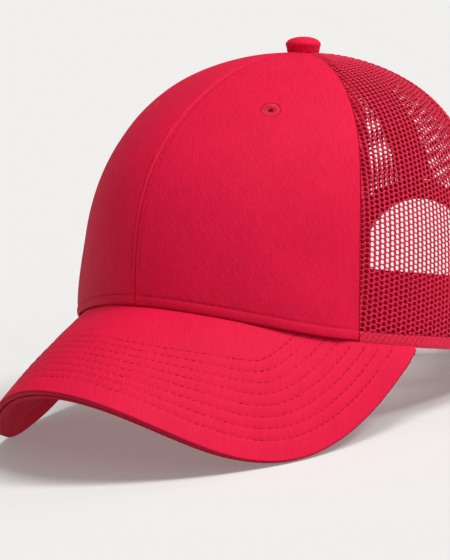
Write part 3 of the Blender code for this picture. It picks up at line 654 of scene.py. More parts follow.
cut_later = []
for side, sgn in (("left", 1), ("right", -1)):
    a, b = (centre_line, side_seam) if sgn > 0 else (neg(centre_line), neg(side_seam))
    phi, the, dc, ds, h, run = grid(a, b, EDGE, LOWS, 120, gap=0.05, across=64)
    depth = front_depth(dc, ds, h, 3 if sgn > 0 else 8, phi, the)
    outer = shell(phi, the, depth)
    inner = shell(phi, the, np.maximum(depth + 0.25, np.where(h > 1.5, 0.88, depth + 0.35)))
    uv = np.stack([run * sgn, h], -1)
    ob = slab(f"front_panel_{side}_cloth", outer, inner, TWILL, {"weave": uv}, turn=sgn < 0)
    cut_later.append((ob, sgn, 4.26))
    ride(ob, f"front_panel_{side}", slot="twill")

    phi, the, dc, ds, h, run = grid(a, b, [0.0, 2.0, 5.0], [1.2, 3.0, 6.0], 60, low=1.2, gap=0.6, across=40)
    ob = slab(
        f"front_buckram_{side}_weave",
        shell(phi, the, 1.2),
        shell(phi, the, 2.0),
        BUCK,
        {"weave": np.stack([run, h], -1)},
        turn=sgn < 0,
    )
    cut_later.append((ob, sgn, 1.0))
    ride(ob, f"front_buckram_{side}", slot="buckram")


# ------------------------------------------------------------------ open mesh
CELL_W, CELL_H = 2.5, 2.25
RIDGE = np.array([(4, 0), (3, 1), (2, 2), (0, 2), (-2, 2), (-3, 1), (-4, 0), (-3, -1), (-2, -2), (0, -2), (2, -2), (3, -1)])


def net(name, a, b, sgn, slant, arch, nodes):
    theta = np.linspace(0.0015, math.radians(TIP_THETA), 260)
    pa, pb = a(theta), b(theta)
    mid = (pa + pb) / 2
    ext = (pb - pa) * 0.12 + sgn * 0.02
    fr = np.linspace(0, 1, 120)
    P = (pa - ext)[:, None] + (pb - pa + 2 * ext)[:, None] * fr[None, :]
    pts = crown(P, theta[:, None])
    seg = np.linalg.norm(np.diff(pts, axis=1), axis=2)
    S = np.concatenate([np.zeros((len(theta), 1)), np.cumsum(seg, 1)], 1)
    S0 = np.array([np.interp(m * sgn, p * sgn, s) for m, p, s in zip(mid, P, S)])
    S = S - S0[:, None]
    line = crown(mid, theta)
    T = np.concatenate([[0], np.cumsum(np.linalg.norm(np.diff(line, axis=0), axis=1))])
    T = T + float(np.linalg.norm(line[0] - crown(float(mid[0]), 0.0)))
    sgrid = np.linspace(-80, 80, 321)
    PHI = np.array([np.interp(sgrid, s, p) for s, p in zip(S, P)])
    lo_t = np.array([np.interp(q * sgn, p * sgn, s) for q, p, s in zip(pa, P, S)]) + 0.15
    hi_t = np.array([np.interp(q * sgn, p * sgn, s) for q, p, s in zip(pb, P, S)]) - 0.15
    fs = np.linspace(min(pa.min(), pb.min()) - 0.05, max(pa.max(), pb.max()) + 0.05, 60)
    hem_t = np.interp(theta_at(fs, HEM_GAP), theta, T)

    def angles(s, t):
        row = np.clip(np.interp(t, T, np.arange(len(T))), 0, len(T) - 1.001)
        i = row.astype(int)
        fi = row - i
        col = np.clip((s + 80) / 0.5, 0, 319.999)
        j = col.astype(int)
        fj = col - j
        p = (PHI[i, j] * (1 - fj) + PHI[i, j + 1] * fj) * (1 - fi) + (PHI[i + 1, j] * (1 - fj) + PHI[i + 1, j + 1] * fj) * fi
        return p, np.interp(t, T, theta)

    al = math.radians(slant) * sgn

    def spread(x, y):
        """Lattice millimetres to run across and height."""
        yy = y - 50.0
        return x * math.cos(al) - yy * math.sin(al), 50.0 + x * math.sin(al) + yy * math.cos(al)

    def room(s, t):
        """Distance inside the panel: to its seams, hem and top, and to the arch."""
        p, th = angles(s, np.clip(t, T[0], T[-1]))
        d = np.minimum(s - np.interp(t, T, lo_t), np.interp(t, T, hi_t) - s)
        d = np.minimum(d, np.minimum(t - np.interp(p, fs, hem_t), T[-1] - t))
        if arch:
            q = shell(p, th, 0.45)
            rise = q[:, 2] - ARCH_SPRING_Z
            away = np.where(rise > 0, np.hypot(q[:, 0], rise), np.abs(q[:, 0])) - ARCH_RADIUS
            d = np.minimum(d, away)
        return d

    ii, kk = np.meshgrid(np.arange(-38, 39), np.arange(-6, 82), indexing="ij")
    centre = np.stack([6 * ii, 4 * kk + 2 * (ii % 2)], -1).reshape(-1, 2)
    cs, ct = spread(centre[:, 0] * CELL_W / 6, centre[:, 1] * CELL_H / 4)
    centre = centre[room(cs, ct) > -0.25]
    keys = centre[:, None, :] + RIDGE[None, :, :]
    flat = keys.reshape(-1, 2)
    uniq, index = np.unique(flat, axis=0, return_inverse=True)
    ring = index.reshape(-1, 12)
    ncell = len(centre)

    # ridge edges used once are the net's border
    e0, e1 = ring, np.roll(ring, -1, axis=1)
    lo_, hi_ = np.minimum(e0, e1), np.maximum(e0, e1)
    code = lo_.astype(np.int64) * (len(uniq) + 1) + hi_
    _, inv, cnt = np.unique(code.ravel(), return_inverse=True, return_counts=True)
    border = (cnt[inv] == 1).reshape(ring.shape)
    on_border = np.zeros(len(uniq), bool)
    on_border[e0[border]] = True
    on_border[e1[border]] = True

    def settle(s, t, snap, margin):
        """Moves points inside the panel; snapped ones go out to its edge."""
        s, t = s.copy(), t.copy()
        L, H = np.interp(t, T, lo_t), np.interp(t, T, hi_t)
        m = np.minimum(margin, (H - L) * 0.4)
        reach_in = 1.9
        s = np.where(snap & (s - L < reach_in) & (s - L < H - s), L, s)
        s = np.where(snap & (H - s < reach_in), H, s)
        s = np.clip(s, L + m, H - m)
        p, th = angles(s, np.clip(t, T[0], T[-1]))
        low = np.interp(p, fs, hem_t)
        t = np.where(snap & (t - low < reach_in), low, t)
        t = np.where(snap & (T[-1] - t < 1.2), T[-1], t)
        t = np.clip(t, low + margin, T[-1] - margin)
        L, H = np.interp(t, T, lo_t), np.interp(t, T, hi_t)
        m = np.minimum(margin, (H - L) * 0.4)
        s = np.clip(s, L + m, H - m)
        p, th = angles(s, t)
        if arch:
            q = shell(p, th, 0.45)
            rise = q[:, 2] - ARCH_SPRING_Z
            r = np.where(rise > 0, np.hypot(q[:, 0], rise), np.abs(q[:, 0]))
            need = (r < ARCH_RADIUS + margin) | (snap & (r < ARCH_RADIUS + reach_in) & (t > np.interp(p, fs, hem_t) + 0.05))
            if need.any():
                k = np.where(need)[0]
                f = (ARCH_RADIUS + margin[k]) / np.maximum(r[k], 1e-6)
                x = q[k, 0] * f
                z = np.where(rise[k] > 0, ARCH_SPRING_Z + rise[k] * f, q[k, 2])
                p[k], th[k] = rear_angles(x, z, np.full(len(k), 0.45), p[k], th[k])
                near_hem = theta_at(p[k], HEM_GAP)
                th[k] = np.maximum(th[k], near_hem)
        return p, th, s, t

    rx, ry = spread(uniq[:, 0] * CELL_W / 6, uniq[:, 1] * CELL_H / 4)
    rp, rt, rs, rtt = settle(rx, ry, on_border, np.zeros(len(rx)))

    ang = np.arctan2(RIDGE[:, 1] * CELL_H / 4, RIDGE[:, 0] * CELL_W / 6)
    hw, hh = 0.74, 0.86
    rad = (np.abs(np.cos(ang) / hw) ** 2.6 + np.abs(np.sin(ang) / hh) ** 2.6) ** (-1 / 2.6)
    hole = np.stack([rad * np.cos(ang), rad * np.sin(ang)], -1)
    cx = centre[:, 0] * CELL_W / 6
    cy = centre[:, 1] * CELL_H / 4
    jitter = 0.05
    hx = cx[:, None] + hole[None, :, 0] * (1 + jitter * ripple(cx, cy, 2, 1.3))[:, None]
    hy = cy[:, None] + hole[None, :, 1] * (1 + jitter * ripple(cx, cy, 6, 1.3))[:, None]
    ex = keys[:, :, 0] * CELL_W / 6
    ey = keys[:, :, 1] * CELL_H / 4
    none = np.zeros(ncell * 12, bool)

    def ringpoints(k, margin):
        x, y = ex * (1 - k) + hx * k, ey * (1 - k) + hy * k
        s, t = spread(x.ravel(), y.ravel())
        return settle(s, t, none, np.full(s.shape, margin))

    def seam_fall(s, t):
        L, H = np.interp(t, T, lo_t), np.interp(t, T, hi_t)
        d = np.minimum(s - L, H - s)
        return 0.35 * bell(d, 0.0, 0.9) + 0.5 * (1 - smooth(0.2, 1.6, t - HEM_GAP))

    # ridge heights: strands that lean stand proud of the short cross bars
    up_side = np.where(RIDGE[:, 1] == 1, 1.0, 0.0)
    down_side = np.where(RIDGE[:, 1] == -1, 1.0, 0.0)
    odd = (centre[:, 0] // 6) % 2 == 1
    link = np.where(odd[:, None], up_side[None, :], down_side[None, :])
    height = np.ones(len(uniq))
    height[ring.ravel()] = (1.0 - 0.75 * link).ravel()
    sunk = np.zeros(len(uniq))
    sunk[ring.ravel()] = (0.10 * link).ravel()
    MID = 0.47
    V, UV = [], []
    base = seam_fall(rs, rtt)
    V.append(shell(rp, rt, MID + base + sunk - 0.40 * height))
    UV.append(np.stack([rx, ry], -1))
    p1, t1, s1, tt1 = ringpoints(0.52, 0.10)
    f1 = seam_fall(s1, tt1)
    shoulder = 0.30 * (1.0 - 0.6 * link).ravel()
    V.append(shell(p1, t1, MID + f1 - shoulder))
    UV.append(np.stack([s1, tt1], -1))
    p2, t2, s2, tt2 = ringpoints(1.0, 0.28)
    f2 = seam_fall(s2, tt2)
    V.append(shell(p2, t2, MID + f2))
    UV.append(np.stack([s2, tt2], -1))
    V.append(shell(p1, t1, MID + f1 + shoulder))
    UV.append(np.stack([s1, tt1], -1))
    V.append(shell(rp, rt, MID + base + sunk * 0.5 + 0.34 * height))
    UV.append(np.stack([rx, ry], -1))
    n0, nr = len(uniq), ncell * 12
    starts = np.cumsum([0, n0, nr, nr, nr])
    local = np.arange(nr).reshape(-1, 12)
    rings = [ring + starts[0], local + starts[1], local + starts[2], local + starts[3], ring + starts[4]]
    faces = []
    for A, B in zip(rings, rings[1:]):
        A1, B1 = np.roll(A, -1, axis=1), np.roll(B, -1, axis=1)
        faces.append(np.stack([A, A1, B1, B], -1).reshape(-1, 4))
    A, A1 = ring[border], np.roll(ring, -1, axis=1)[border]
    faces.append(np.stack([A1, A, A + starts[4], A1 + starts[4]], -1))
    F = np.concatenate(faces)
    if sgn < 0:
        F = F[:, ::-1]
    linked = np.zeros(len(uniq))
    linked[ring.ravel()] = link.ravel()
    flatlink = link.ravel()
    # painted highlight on the outer ridges of the waving strands and painted shade on the links and the hole walls, one
    # colour factor for each ring of points
    painted_light_tone = np.concatenate(
        [1.32 - 0.82 * linked, 1.04 - 0.56 * flatlink, 0.50 + 0 * flatlink, 0.76 - 0.24 * flatlink, 0.92 - 0.2 * linked]
    )
    painted_light_tones = np.stack([painted_light_tone, 0 * painted_light_tone], -1)
    ob = mesh_object(
        name, np.concatenate(V), np.ascontiguousarray(F), MESH, {"weave": np.concatenate(UV), "strand": painted_light_tones}
    )
    return ride(ob, *nodes, slot="mesh_knit")


for side, sgn in (("left", 1), ("right", -1)):
    m = (lambda f: f) if sgn > 0 else neg
    net(f"side_mesh_{side}_net", m(side_seam), m(rear_side), sgn, -6.0, False, [f"side_mesh_{side}"])
    net(f"rear_mesh_{side}_net", m(rear_side), m(rear_centre), sgn, 0.0, True, [f"rear_mesh_{side}"])


# ------------------------------------------- folded hem along the mesh panels
for side, sgn in (("left", 1), ("right", -1)):
    ph = np.linspace(math.radians(SIDE_SEAM_HEM) + 0.001, math.pi - 0.39, 760)
    hs = np.array([-0.55, -0.35, 0.0, 0.5, 1.0, 1.5, 2.0, 2.5, 3.0, 3.5, 4.0, 4.4, 4.7])
    th = np.array([theta_at(ph, max(h, 0.0)) for h in hs])
    pp = np.broadcast_to(ph, th.shape)
    H = np.broadcast_to(hs[:, None], th.shape)
    arc = np.concatenate([[0], np.cumsum(np.linalg.norm(np.diff(crown(ph, 0.05), axis=0), axis=1))])
    A = np.broadcast_to(arc, th.shape)
    strand = np.sin(2 * math.pi * (A * 0.80 - H * 0.60) / 2.25)
    face = 0.04 - 0.25 * strand * smooth(-0.4, 0.8, H) * smooth(4.8, 4.0, H) + 0.45 * (1 - smooth(-0.55, 0.6, H)) + 0.25 * smooth(4.0, 4.7, H)
    drop = np.minimum(hs, 0.0)[:, None, None] * np.array([0, 0, 1.0])
    outer = shell(pp * sgn, th, face) + drop
    inner = shell(pp * sgn, th, 0.95 - 0.25 * (1 - smooth(-0.55, 0.4, H)) - 0.3 * smooth(4.2, 4.7, H)) + drop
    ob = slab(f"mesh_hem_{side}", outer, inner, HEM, {"weave": np.stack([A, H], -1)}, turn=sgn > 0)
    ride(ob, slot="mesh_knit")


# ----------------------------------------------------------------- seam tapes
def taper(width, radius, half):
    return np.minimum(width, 2 * radius * math.tan(math.radians(half)) * 0.92)


def tape(name, seam, width, top_depth, thick, low, half, start_theta=None, columns=12, rows=90, end_radius=4.5):
    theta = np.linspace(0.2, 1.55, 800)
    end = float(theta[np.argmin(np.abs(reach(seam(theta), theta) - end_radius))])
    start = start_theta if start_theta is not None else float(theta_at(float(seam(np.array(0.1))), low))
    t = start + (end - start) * np.linspace(0, 1, rows) ** 1.05
    c = seam(t)
    r = reach(c, t)
    w = taper(width, r, half)
    u = np.linspace(-0.5, 0.5, columns)
    phi = c[None, :] + u[:, None] * (w / r)[None, :]
    th = np.broadcast_to(t, phi.shape)
    line = crown(c, t)
    run = np.concatenate([[0], np.cumsum(np.linalg.norm(np.diff(line, axis=0), axis=1))])
    cup = 0.18 * (2 * np.abs(u)) ** 3
    d = top_depth + 0.05 * ripple(run[None, :] + 0 * phi, phi * 0, 4, 7.0) - cup[:, None] * 0.5
    outer, inner = shell(phi, th, d), shell(phi, th, d + thick)
    uv = np.stack([u[:, None] * w[None, :], np.broadcast_to(run, phi.shape)], -1)
    ob = slab(name + "_cloth", outer, inner, TAPE, {"weave": uv})
    ride(ob, name, slot="seam_tape")
    for sd in (-1, 1):
        k = sd * np.maximum(w / 2 - 1.3, 0.25) / r
        pts = shell(c + k, t, top_depth + thick - 0.02)
        stitched.append((pts[3:-2], -crown_normal(c + k, t)[3:-2]))


stitched = []
tape("tape_front_centre", centre_line, 12.0, 2.3, 0.5, 1.2, 30.0)
for side, sgn in (("left", 1), ("right", -1)):
    m = (lambda f: f) if sgn > 0 else neg
    tape(f"tape_front_side_{side}", m(side_seam), 12.0, 2.3, 0.5, 1.2, 29.0)
    tape(f"tape_rear_side_{side}", m(rear_side), 12.0, 1.25, 0.5, 1.2, 28.0)
above = TABLE[np.argmax(crown(math.pi, TABLE)[:, 2] > ARCH_SPRING_Z + ARCH_RADIUS + BINDING_WIDTH + 0.5)]
tape("tape_rear_centre", rear_centre, 18.0, 1.25, 0.5, 1.2, 28.0, start_theta=float(above))
stitches("tape_stitching", stitched, SEWN, radius=0.17, slot="embroidery")


# --------------------------------------------------------------- arch binding
def rear_hem_z(x):
    phis = np.linspace(math.pi / 2, math.pi, 400)
    p = lean(hem(phis), HEM_TILT)
    return float(np.interp(-abs(x), -p[:, 0], p[:, 2]))


def arch_row(r, n_leg=14, n_bow=70, foot=1.0):
    z0 = rear_hem_z(r) + foot
    leg = [(r, z) for z in np.linspace(z0, ARCH_SPRING_Z, n_leg)[:-1]]
    bow = [(r * math.cos(t), ARCH_SPRING_Z + r * math.sin(t)) for t in np.linspace(0, math.pi, n_bow)]
    return np.array(leg + bow + [(-x, z) for x, z in reversed(leg)])


offs = np.array([0.15, 0.5, 1.0, 1.8, 2.8, 4.0, 5.2, 6.4, 7.4, 8.2, 8.7, 9.0])
rows = [arch_row(ARCH_RADIUS + o) for o in offs]
outer = np.array([rear_point(r[:, 0], r[:, 1], 1.22 + 0.10 * bell(o, 0, 0.6) + 0.06 * bell(o, 9, 0.5)) for r, o in zip(rows, offs)])
inner = np.array([rear_point(r[:, 0], r[:, 1], 1.78 - 0.06 * bell(o, 9, 0.5)) for r, o in zip(rows, offs)])
along = np.concatenate([[0], np.cumsum(np.hypot(*np.diff(rows[6], axis=0).T))])
uv = np.stack([np.broadcast_to(offs[:, None], outer.shape[:2]), np.broadcast_to(along[None, :], outer.shape[:2])], -1)
ob = slab("arch_binding_cloth", outer, inner, TAPE, {"weave": uv}, turn=True)
ride(ob, "arch_binding", slot="seam_tape")
paths = []
for o, dep, sg in ((1.4, 0.02, 1), (7.6, 0.02, 1), (1.4, 1.80, -1), (7.6, 1.80, -1)):
    r = arch_row(ARCH_RADIUS + o, foot=2.0)
    pts = rear_point(r[:, 0], r[:, 1], dep)
    f, t = rear_angles(r[:, 0], r[:, 1], np.zeros(len(r)), math.pi - r[:, 0] / 100.0, np.full(len(r), 0.35))
    paths.append((pts, crown_normal(f, t) * sg))
stitches("arch_stitching", paths, SEWN, radius=0.2)


# ------------------------------------------------------------------ sweatband
def phi_at_x(x):
    phis = np.linspace(math.pi / 2, 1.5 * math.pi, 600)
    return float(np.interp(-x, -crown(phis, 0.12)[:, 0], phis))


end = phi_at_x(37.5)
phis = np.linspace(-end, end, 420)
hs = np.array([0.35, 0.6, 1.0, 1.6, 2.4, 3.4, 4.4, 6, 9, 12, 15, 18, 21, 24, 27, 28.6, 29.4, 30.0, 30.6, 31.1, 31.5])
th = np.array([theta_at(phis, h) for h in hs])
pp = np.broadcast_to(phis, th.shape)
H = np.broadcast_to(hs[:, None], th.shape)
puff = 0.35 * bell(H, 2.2, 1.6) + 0.15 * bell(H, 16, 9) - 0.25 * bell(H, 4.6, 0.6) - 0.2 * bell(H, 29.4, 0.5)
wav = 0.10 * ripple(pp * 95, H, 12, 11.0)
# its lower edge is folded out to the panels, which closes the hem
outer = shell(pp, th, 3.7 - 2.6 * (1 - smooth(0.6, 1.15, H)))
inner = shell(pp, th, 4.65 + puff + wav - 0.35 * (1 - smooth(0.0, 1.2, H - 0.35)) - 0.35 * smooth(30.6, 31.5, H))
arc = np.concatenate([[0], np.cumsum(np.linalg.norm(np.diff(crown(phis, 0.1), axis=0), axis=1))])
uv = np.stack([np.broadcast_to(arc, th.shape), H], -1)
ob = slab("sweatband_cloth", outer, inner, BAND, {"weave": uv}, turn=True)
ride(ob, "sweatband", slot="sweatband")
nor = -crown_normal(phis, th[6])
stitches(
    "sweatband_stitching",
    [
        (shell(phis, theta_at(phis, 4.6), 4.46), -crown_normal(phis, theta_at(phis, 4.6))),
        (shell(phis, theta_at(phis, 29.4), 4.50), -crown_normal(phis, theta_at(phis, 29.4))),
    ],
    SEWN,
    radius=0.18,
)


# ---------------------------------------------------------------------- visor
def visor_outline(count=400):
    t = np.linspace(0, math.pi / 2, count)
    forward = HEM_FRONT + VISOR_REACH + VISOR_CENTRE_Y
    x = VISOR_HALF_WIDTH * np.sin(t) ** (2 / VISOR_SIDE_POWER)
    y = VISOR_CENTRE_Y - forward * np.cos(t) ** (2 / VISOR_TIP_POWER)
    x = np.concatenate([x, VISOR_HALF_WIDTH * np.cos(t[1:]) ** (2 / 2.2)])
    y = np.concatenate([y, VISOR_CENTRE_Y + VISOR_TAIL * np.sin(t[1:]) ** (2 / 2.2)])
    phi = np.arctan2(x, -y)
    hx, hy = hem_plan(phi)
    past = np.hypot(x, y) - np.hypot(hx, hy)
    i = next(i for i in range(count // 2, len(x)) if past[i] < 0)
    f = past[i - 1] / (past[i - 1] - past[i])
    x = np.append(x[:i], x[i - 1] + f * (x[i] - x[i - 1]))
    y = np.append(y[:i], y[i - 1] + f * (y[i] - y[i - 1]))
    return x, y


OUT_X, OUT_Y = visor_outline()
RUN = np.concatenate([[0], np.cumsum(np.hypot(np.diff(OUT_X), np.diff(OUT_Y)))])
VISOR_END = math.atan2(OUT_X[-1], -OUT_Y[-1])


def visor_edge(u):
    a = np.abs(u)
    x, y = np.interp(a, RUN / RUN[-1], OUT_X), np.interp(a, RUN / RUN[-1], OUT_Y)

    def height(v):
        e = VISOR_EDGE_Z
        return e[0] + sum(e[k] * (np.cos(k * math.pi * v) - 1) for k in (1, 2, 3))

    z = height(a) + (hem(VISOR_END)[2] - height(1.0)) * a**3
    edge = np.stack([np.sign(u) * x, y, z], -1)
    # the cloth stands a little wider than the stiffener at the sides
    x1, y1 = np.interp(np.minimum(a + 1e-3, 1), RUN / RUN[-1], OUT_X), np.interp(np.minimum(a + 1e-3, 1), RUN / RUN[-1], OUT_Y)
    x0, y0 = np.interp(np.maximum(a - 1e-3, 0), RUN / RUN[-1], OUT_X), np.interp(np.maximum(a - 1e-3, 0), RUN / RUN[-1], OUT_Y)
    out = unit(np.stack([np.sign(u) * (y1 - y0), -(x1 - x0), 0 * a], -1))
    wide = 1.0 + 2.4 * smooth(0.48, 0.68, a) - 0.6 * smooth(0.85, 0.95, a) - 1.4 * smooth(0.955, 1.0, a)
    down = unit(edge - hem(u * VISOR_END))
    return edge + out * wide[..., None] + down * (0.55 * (1 - a**6))[..., None]


def visor_top(u, lam):
    u, lam = np.broadcast_arrays(np.asarray(u, float), np.asarray(lam, float))
    p = hem(u * VISOR_END) * (1 - lam[..., None]) + visor_edge(u) * lam[..., None]
    p = p + np.stack([0 * u, 0 * u, VISOR_CROWNING * 4 * lam * (1 - lam) * (1 - u**4)], -1)
    return lean(p, HEM_TILT)


def visor_normal(u, lam):
    u, lam = np.broadcast_arrays(np.asarray(u, float), np.asarray(lam, float))
    h = 0.01
    du = visor_top(np.minimum(u + h, 1), lam) - visor_top(np.maximum(u - h, -1), lam)
    dl = visor_top(u, np.minimum(lam + h, 1)) - visor_top(u, np.maximum(lam - h, 0))
    n = unit(np.cross(dl, du))
    return np.where(n[..., 2:3] < 0, -n, n)


dense = visor_top(np.linspace(-1, 1, 1601), np.ones(1601))
dense_run = np.concatenate([[0], np.cumsum(np.linalg.norm(np.diff(dense, axis=0), axis=1))])
dense_run -= dense_run[-1] / 2


def edge_distance(p):
    """Distance from the visor's edge and where along it, for each point."""
    flat = p.reshape(-1, 3)
    dist, run = np.empty(len(flat)), np.empty(len(flat))
    for k in range(0, len(flat), 4000):
        d = np.linalg.norm(flat[k : k + 4000, None, :] - dense[None, :, :], axis=2)
        i = d.argmin(1)
        dist[k : k + 4000] = d[np.arange(len(i)), i]
        run[k : k + 4000] = dense_run[i]
    return dist.reshape(p.shape[:-1]), run.reshape(p.shape[:-1])


NU = 361
U = np.linspace(-0.992, 0.992, NU)
width = np.linalg.norm(visor_top(U, np.ones(NU)) - visor_top(U, np.zeros(NU)), axis=1)
near = np.array([0.0, 0.08, 0.25, 0.5, 0.8, 1.1, 1.5, 2.0, 2.6])
LAM = []
for w in width:
    e = near * min(1.0, w / 8.0)
    inner_part = np.linspace(0, 1 - e[-1] / w, 118)
    LAM.append(np.concatenate([[-1.0, -0.5], inner_part, 1 - e[::-1][1:] / w, [1.0, 1.0, 1.0]]))
LAM = np.array(LAM)
UU = np.broadcast_to(U[:, None], LAM.shape)
inside = np.clip(LAM, 0, 1)
TOP = visor_top(UU, inside)
NOR = visor_normal(UU, np.clip(inside, 0.02, 0.985))
wall = shell(UU * VISOR_END, 0.05, 1.0) - crown(UU * VISOR_END, 0.05)
wall[..., 2] = 0
TUCK = wall * (np.clip(-LAM, 0, 1) * 2.0)[..., None]
DIST, SRUN = edge_distance(TOP)
ROLL = 0.75
roll = ROLL * np.minimum(1.0, width / 10.0)[:, None]
ROWS = [9.3 + 3.95 * k for k in range(8)]
SPREAD = 1 + 0.30 * smooth(0.08, 0.42, np.abs(UU))
DROW = np.where(DIST > 9.3, 9.3 + (DIST - 9.3) / SPREAD, DIST)
round_off = np.where(DIST < roll, roll - np.sqrt(np.maximum(roll**2 - (roll - DIST) ** 2, 0)), 0.0)
slim = np.minimum(1.0, width / 10.0)[:, None]
WALL = np.zeros(DIST.shape)
WALL[:, -3:] = np.array([0.32, 0.64, 0.94])
INWARD = unit(visor_top(UU, np.zeros(LAM.shape)) - visor_top(UU, np.ones(LAM.shape)))
quilt = np.zeros(DIST.shape)
SALONG = UU * dense_run[-1]
for k, c in enumerate(ROWS):
    quilt += bell(DROW, c, 0.62) * (0.20 + 0.06 * np.cos(2 * math.pi * (SALONG + k * 1.3) / 3.3))
puffs = 0.05 * ripple(SALONG, DIST * 0.25, 21, 2.1) + 0.10 * ripple(SALONG, DIST * 0.5, 22, 6.0)
fade = smooth(2.0, 8.0, DIST) * np.where(LAM < 0, 0, 1) * smooth(0.0, 4.0, np.abs(inside) * width[:, None])
depth_top = round_off + WALL * slim + (quilt - 0.02) * np.where(LAM < 0, 0, 1) + puffs * fade
EXTRA = (0.45 + 1.35 * (1 - smooth(0.40, 0.58, np.abs(UU)))) * (1 - smooth(0.75, 0.95, np.abs(UU)))
depth_top += 0.5 * EXTRA * WALL / 0.94
tip = 0.32 * smooth(0.0, 1.0, WALL) * slim
plan = lean(TOP, -HEM_TILT)
uvw = np.stack([plan[..., 0], plan[..., 1]], -1)
uvp = np.stack([SALONG, DIST], -1)
outer = TOP - NOR * depth_top[..., None] + TUCK + INWARD * tip[..., None]
hide = 0.6 * bell(DIST, 0.0, 1.2) * slim
inner = TOP - NOR * (np.minimum(depth_top + 0.6, 1.72 + 0.5 * EXTRA * smooth(2.0, 0.5, DIST)))[..., None] + TUCK + INWARD * (hide + tip)[..., None]
ob = slab("visor_top_cover_cloth", outer, inner, TWILL_VISOR, {"weave": uvw, "pucker": uvp})
ride(ob, "visor_top_cover", slot="twill")

# the under cover meets it halfway down the edge and tucks in below
THICK = 3.36
ROLL_LOW = 0.8
roll = ROLL_LOW * slim
round_low = np.where(DIST < roll, roll - np.sqrt(np.maximum(roll**2 - (roll - DIST) ** 2, 0)), 0.0)
deep = THICK + EXTRA * smooth(13.0, 2.5, DIST)
low_wall = (deep - ROLL_LOW - 1.80 - 0.5 * EXTRA) * WALL / 0.94
depth_low = deep - round_low - low_wall - (quilt * 0.8) * np.where(LAM < 0, 0, 1) - puffs * fade * 0.8
tuck_in = (0.34 + 0.46 * bell(DIST, 0.0, 2.2) * (1 - smooth(0.0, 1.0, WALL))) * slim * smooth(9.0, 3.0, DIST)
outer = TOP - NOR * depth_low[..., None] + TUCK + INWARD * tuck_in[..., None]
inner = TOP - NOR * (np.maximum(depth_low - 0.6, 1.76 + 0.5 * EXTRA * smooth(2.0, 0.5, DIST)))[..., None] + TUCK + INWARD * (tuck_in + hide)[..., None]
ob = slab("visor_under_cover_cloth", inner, outer, TWILL_UNDER, {"weave": uvw, "pucker": uvp})
ride(ob, "visor_under_cover", slot="twill")

# the stiffener between the covers
lam = np.linspace(0.0, 1.0, 40)
ub = np.linspace(-0.95, 0.95, 160)
wb = np.linalg.norm(visor_top(ub, np.ones(160)) - visor_top(ub, np.zeros(160)), axis=1)
lb = lam[None, :] * (1 - np.minimum(2.6 / wb, 0.4))[:, None]
uu = np.broadcast_to(ub[:, None], lb.shape)
pb, nb = visor_top(uu, lb), visor_normal(uu, np.clip(lb, 0.02, 0.985))
flat = lean(pb, -HEM_TILT)[..., :2]
ob = slab("visor_board_sheet", pb - nb * 0.95, pb - nb * 2.38, BOARD, {"weave": flat})
ride(ob, "visor_board", slot="visor_board")

# stitch rows on both faces
top_paths, low_paths = [], []
for c in ROWS:
    best = []
    for i in range(NU):
        d = DROW[i, 2:-3]
        lam = LAM[i, 2:-3]
        hit = np.where((d[:-1] >= c) & (d[1:] < c))[0]
        if len(hit):
            k = hit[-1]
            f = (d[k] - c) / (d[k] - d[k + 1])
            best.append((U[i], lam[k] + f * (lam[k + 1] - lam[k])))
    if len(best) < 8:
        continue
    best = np.array(best)
    p = visor_top(best[:, 0], best[:, 1])
    nn = visor_normal(best[:, 0], best[:, 1])
    # even out the steps of the search
    kernel = np.ones(5) / 5
    p = np.stack([np.convolve(np.pad(p[:, k], 2, mode="edge"), kernel, "valid") for k in range(3)], -1)
    top_paths.append((p - nn * 0.20, nn))
    low_paths.append((p - nn * (THICK - 0.16), -nn))
stitches("visor_stitching_top", top_paths, SEWN, length=2.5, gap=0.7, radius=0.21, lift=-0.02)
stitches("visor_stitching_under", low_paths, SEWN, length=2.7, gap=0.55, radius=0.19, lift=0.0)

# --------------------------------------------------------- crown topstitching
paths = []
for sgn in (1, -1):
    # beside the front centre seam
    t = np.linspace(0.07, 1.50, 220)
    r = reach(centre_line(t), t)
    k = sgn * np.minimum(2.3, 0.3 * r) / r
    paths.append((shell(k, t, 0.05), crown_normal(k, t)))
    # along the front panels' hem
    ph = np.linspace(0.03, math.radians(SIDE_SEAM_HEM) - 0.02, 160) * sgn
    tt = theta_at(ph, 4.9)
    paths.append((shell(ph, tt, 0.16), crown_normal(ph, tt)))
stitches("front_panel_stitching", paths, SEWN, length=2.5, gap=0.6, radius=0.17, lift=0.0)

paths = []
for sgn in (1, -1):
    for seam, sd in ((side_seam, 1), (rear_side, 1), (rear_side, -1)):
        t = np.linspace(0.05, 1.46, 220)
        s = seam(t)
        r = reach(s, t)
        k = s + sd * np.minimum(2.2, 0.25 * r) / r
        paths.append((shell(k * sgn, t, 0.10), crown_normal(k * sgn, t)))
    t = np.linspace(float(above) + 0.02, 1.46, 160)
    r = reach(rear_centre(t), t)
    k = math.pi - np.minimum(2.2, 0.25 * r) / r
    paths.append((shell(k * sgn, t, 0.10), crown_normal(k * sgn, t)))
    for hh in (4.9,):
        ph = np.linspace(math.radians(SIDE_SEAM_HEM) + 0.02, phi_at_x(37.5), 240) * sgn
        tt = theta_at(ph, hh)
        paths.append((shell(ph, tt, 0.10), crown_normal(ph, tt)))
stitches("mesh_panel_stitching", paths, SEWN, length=2.5, gap=0.6, radius=0.17, lift=0.0)


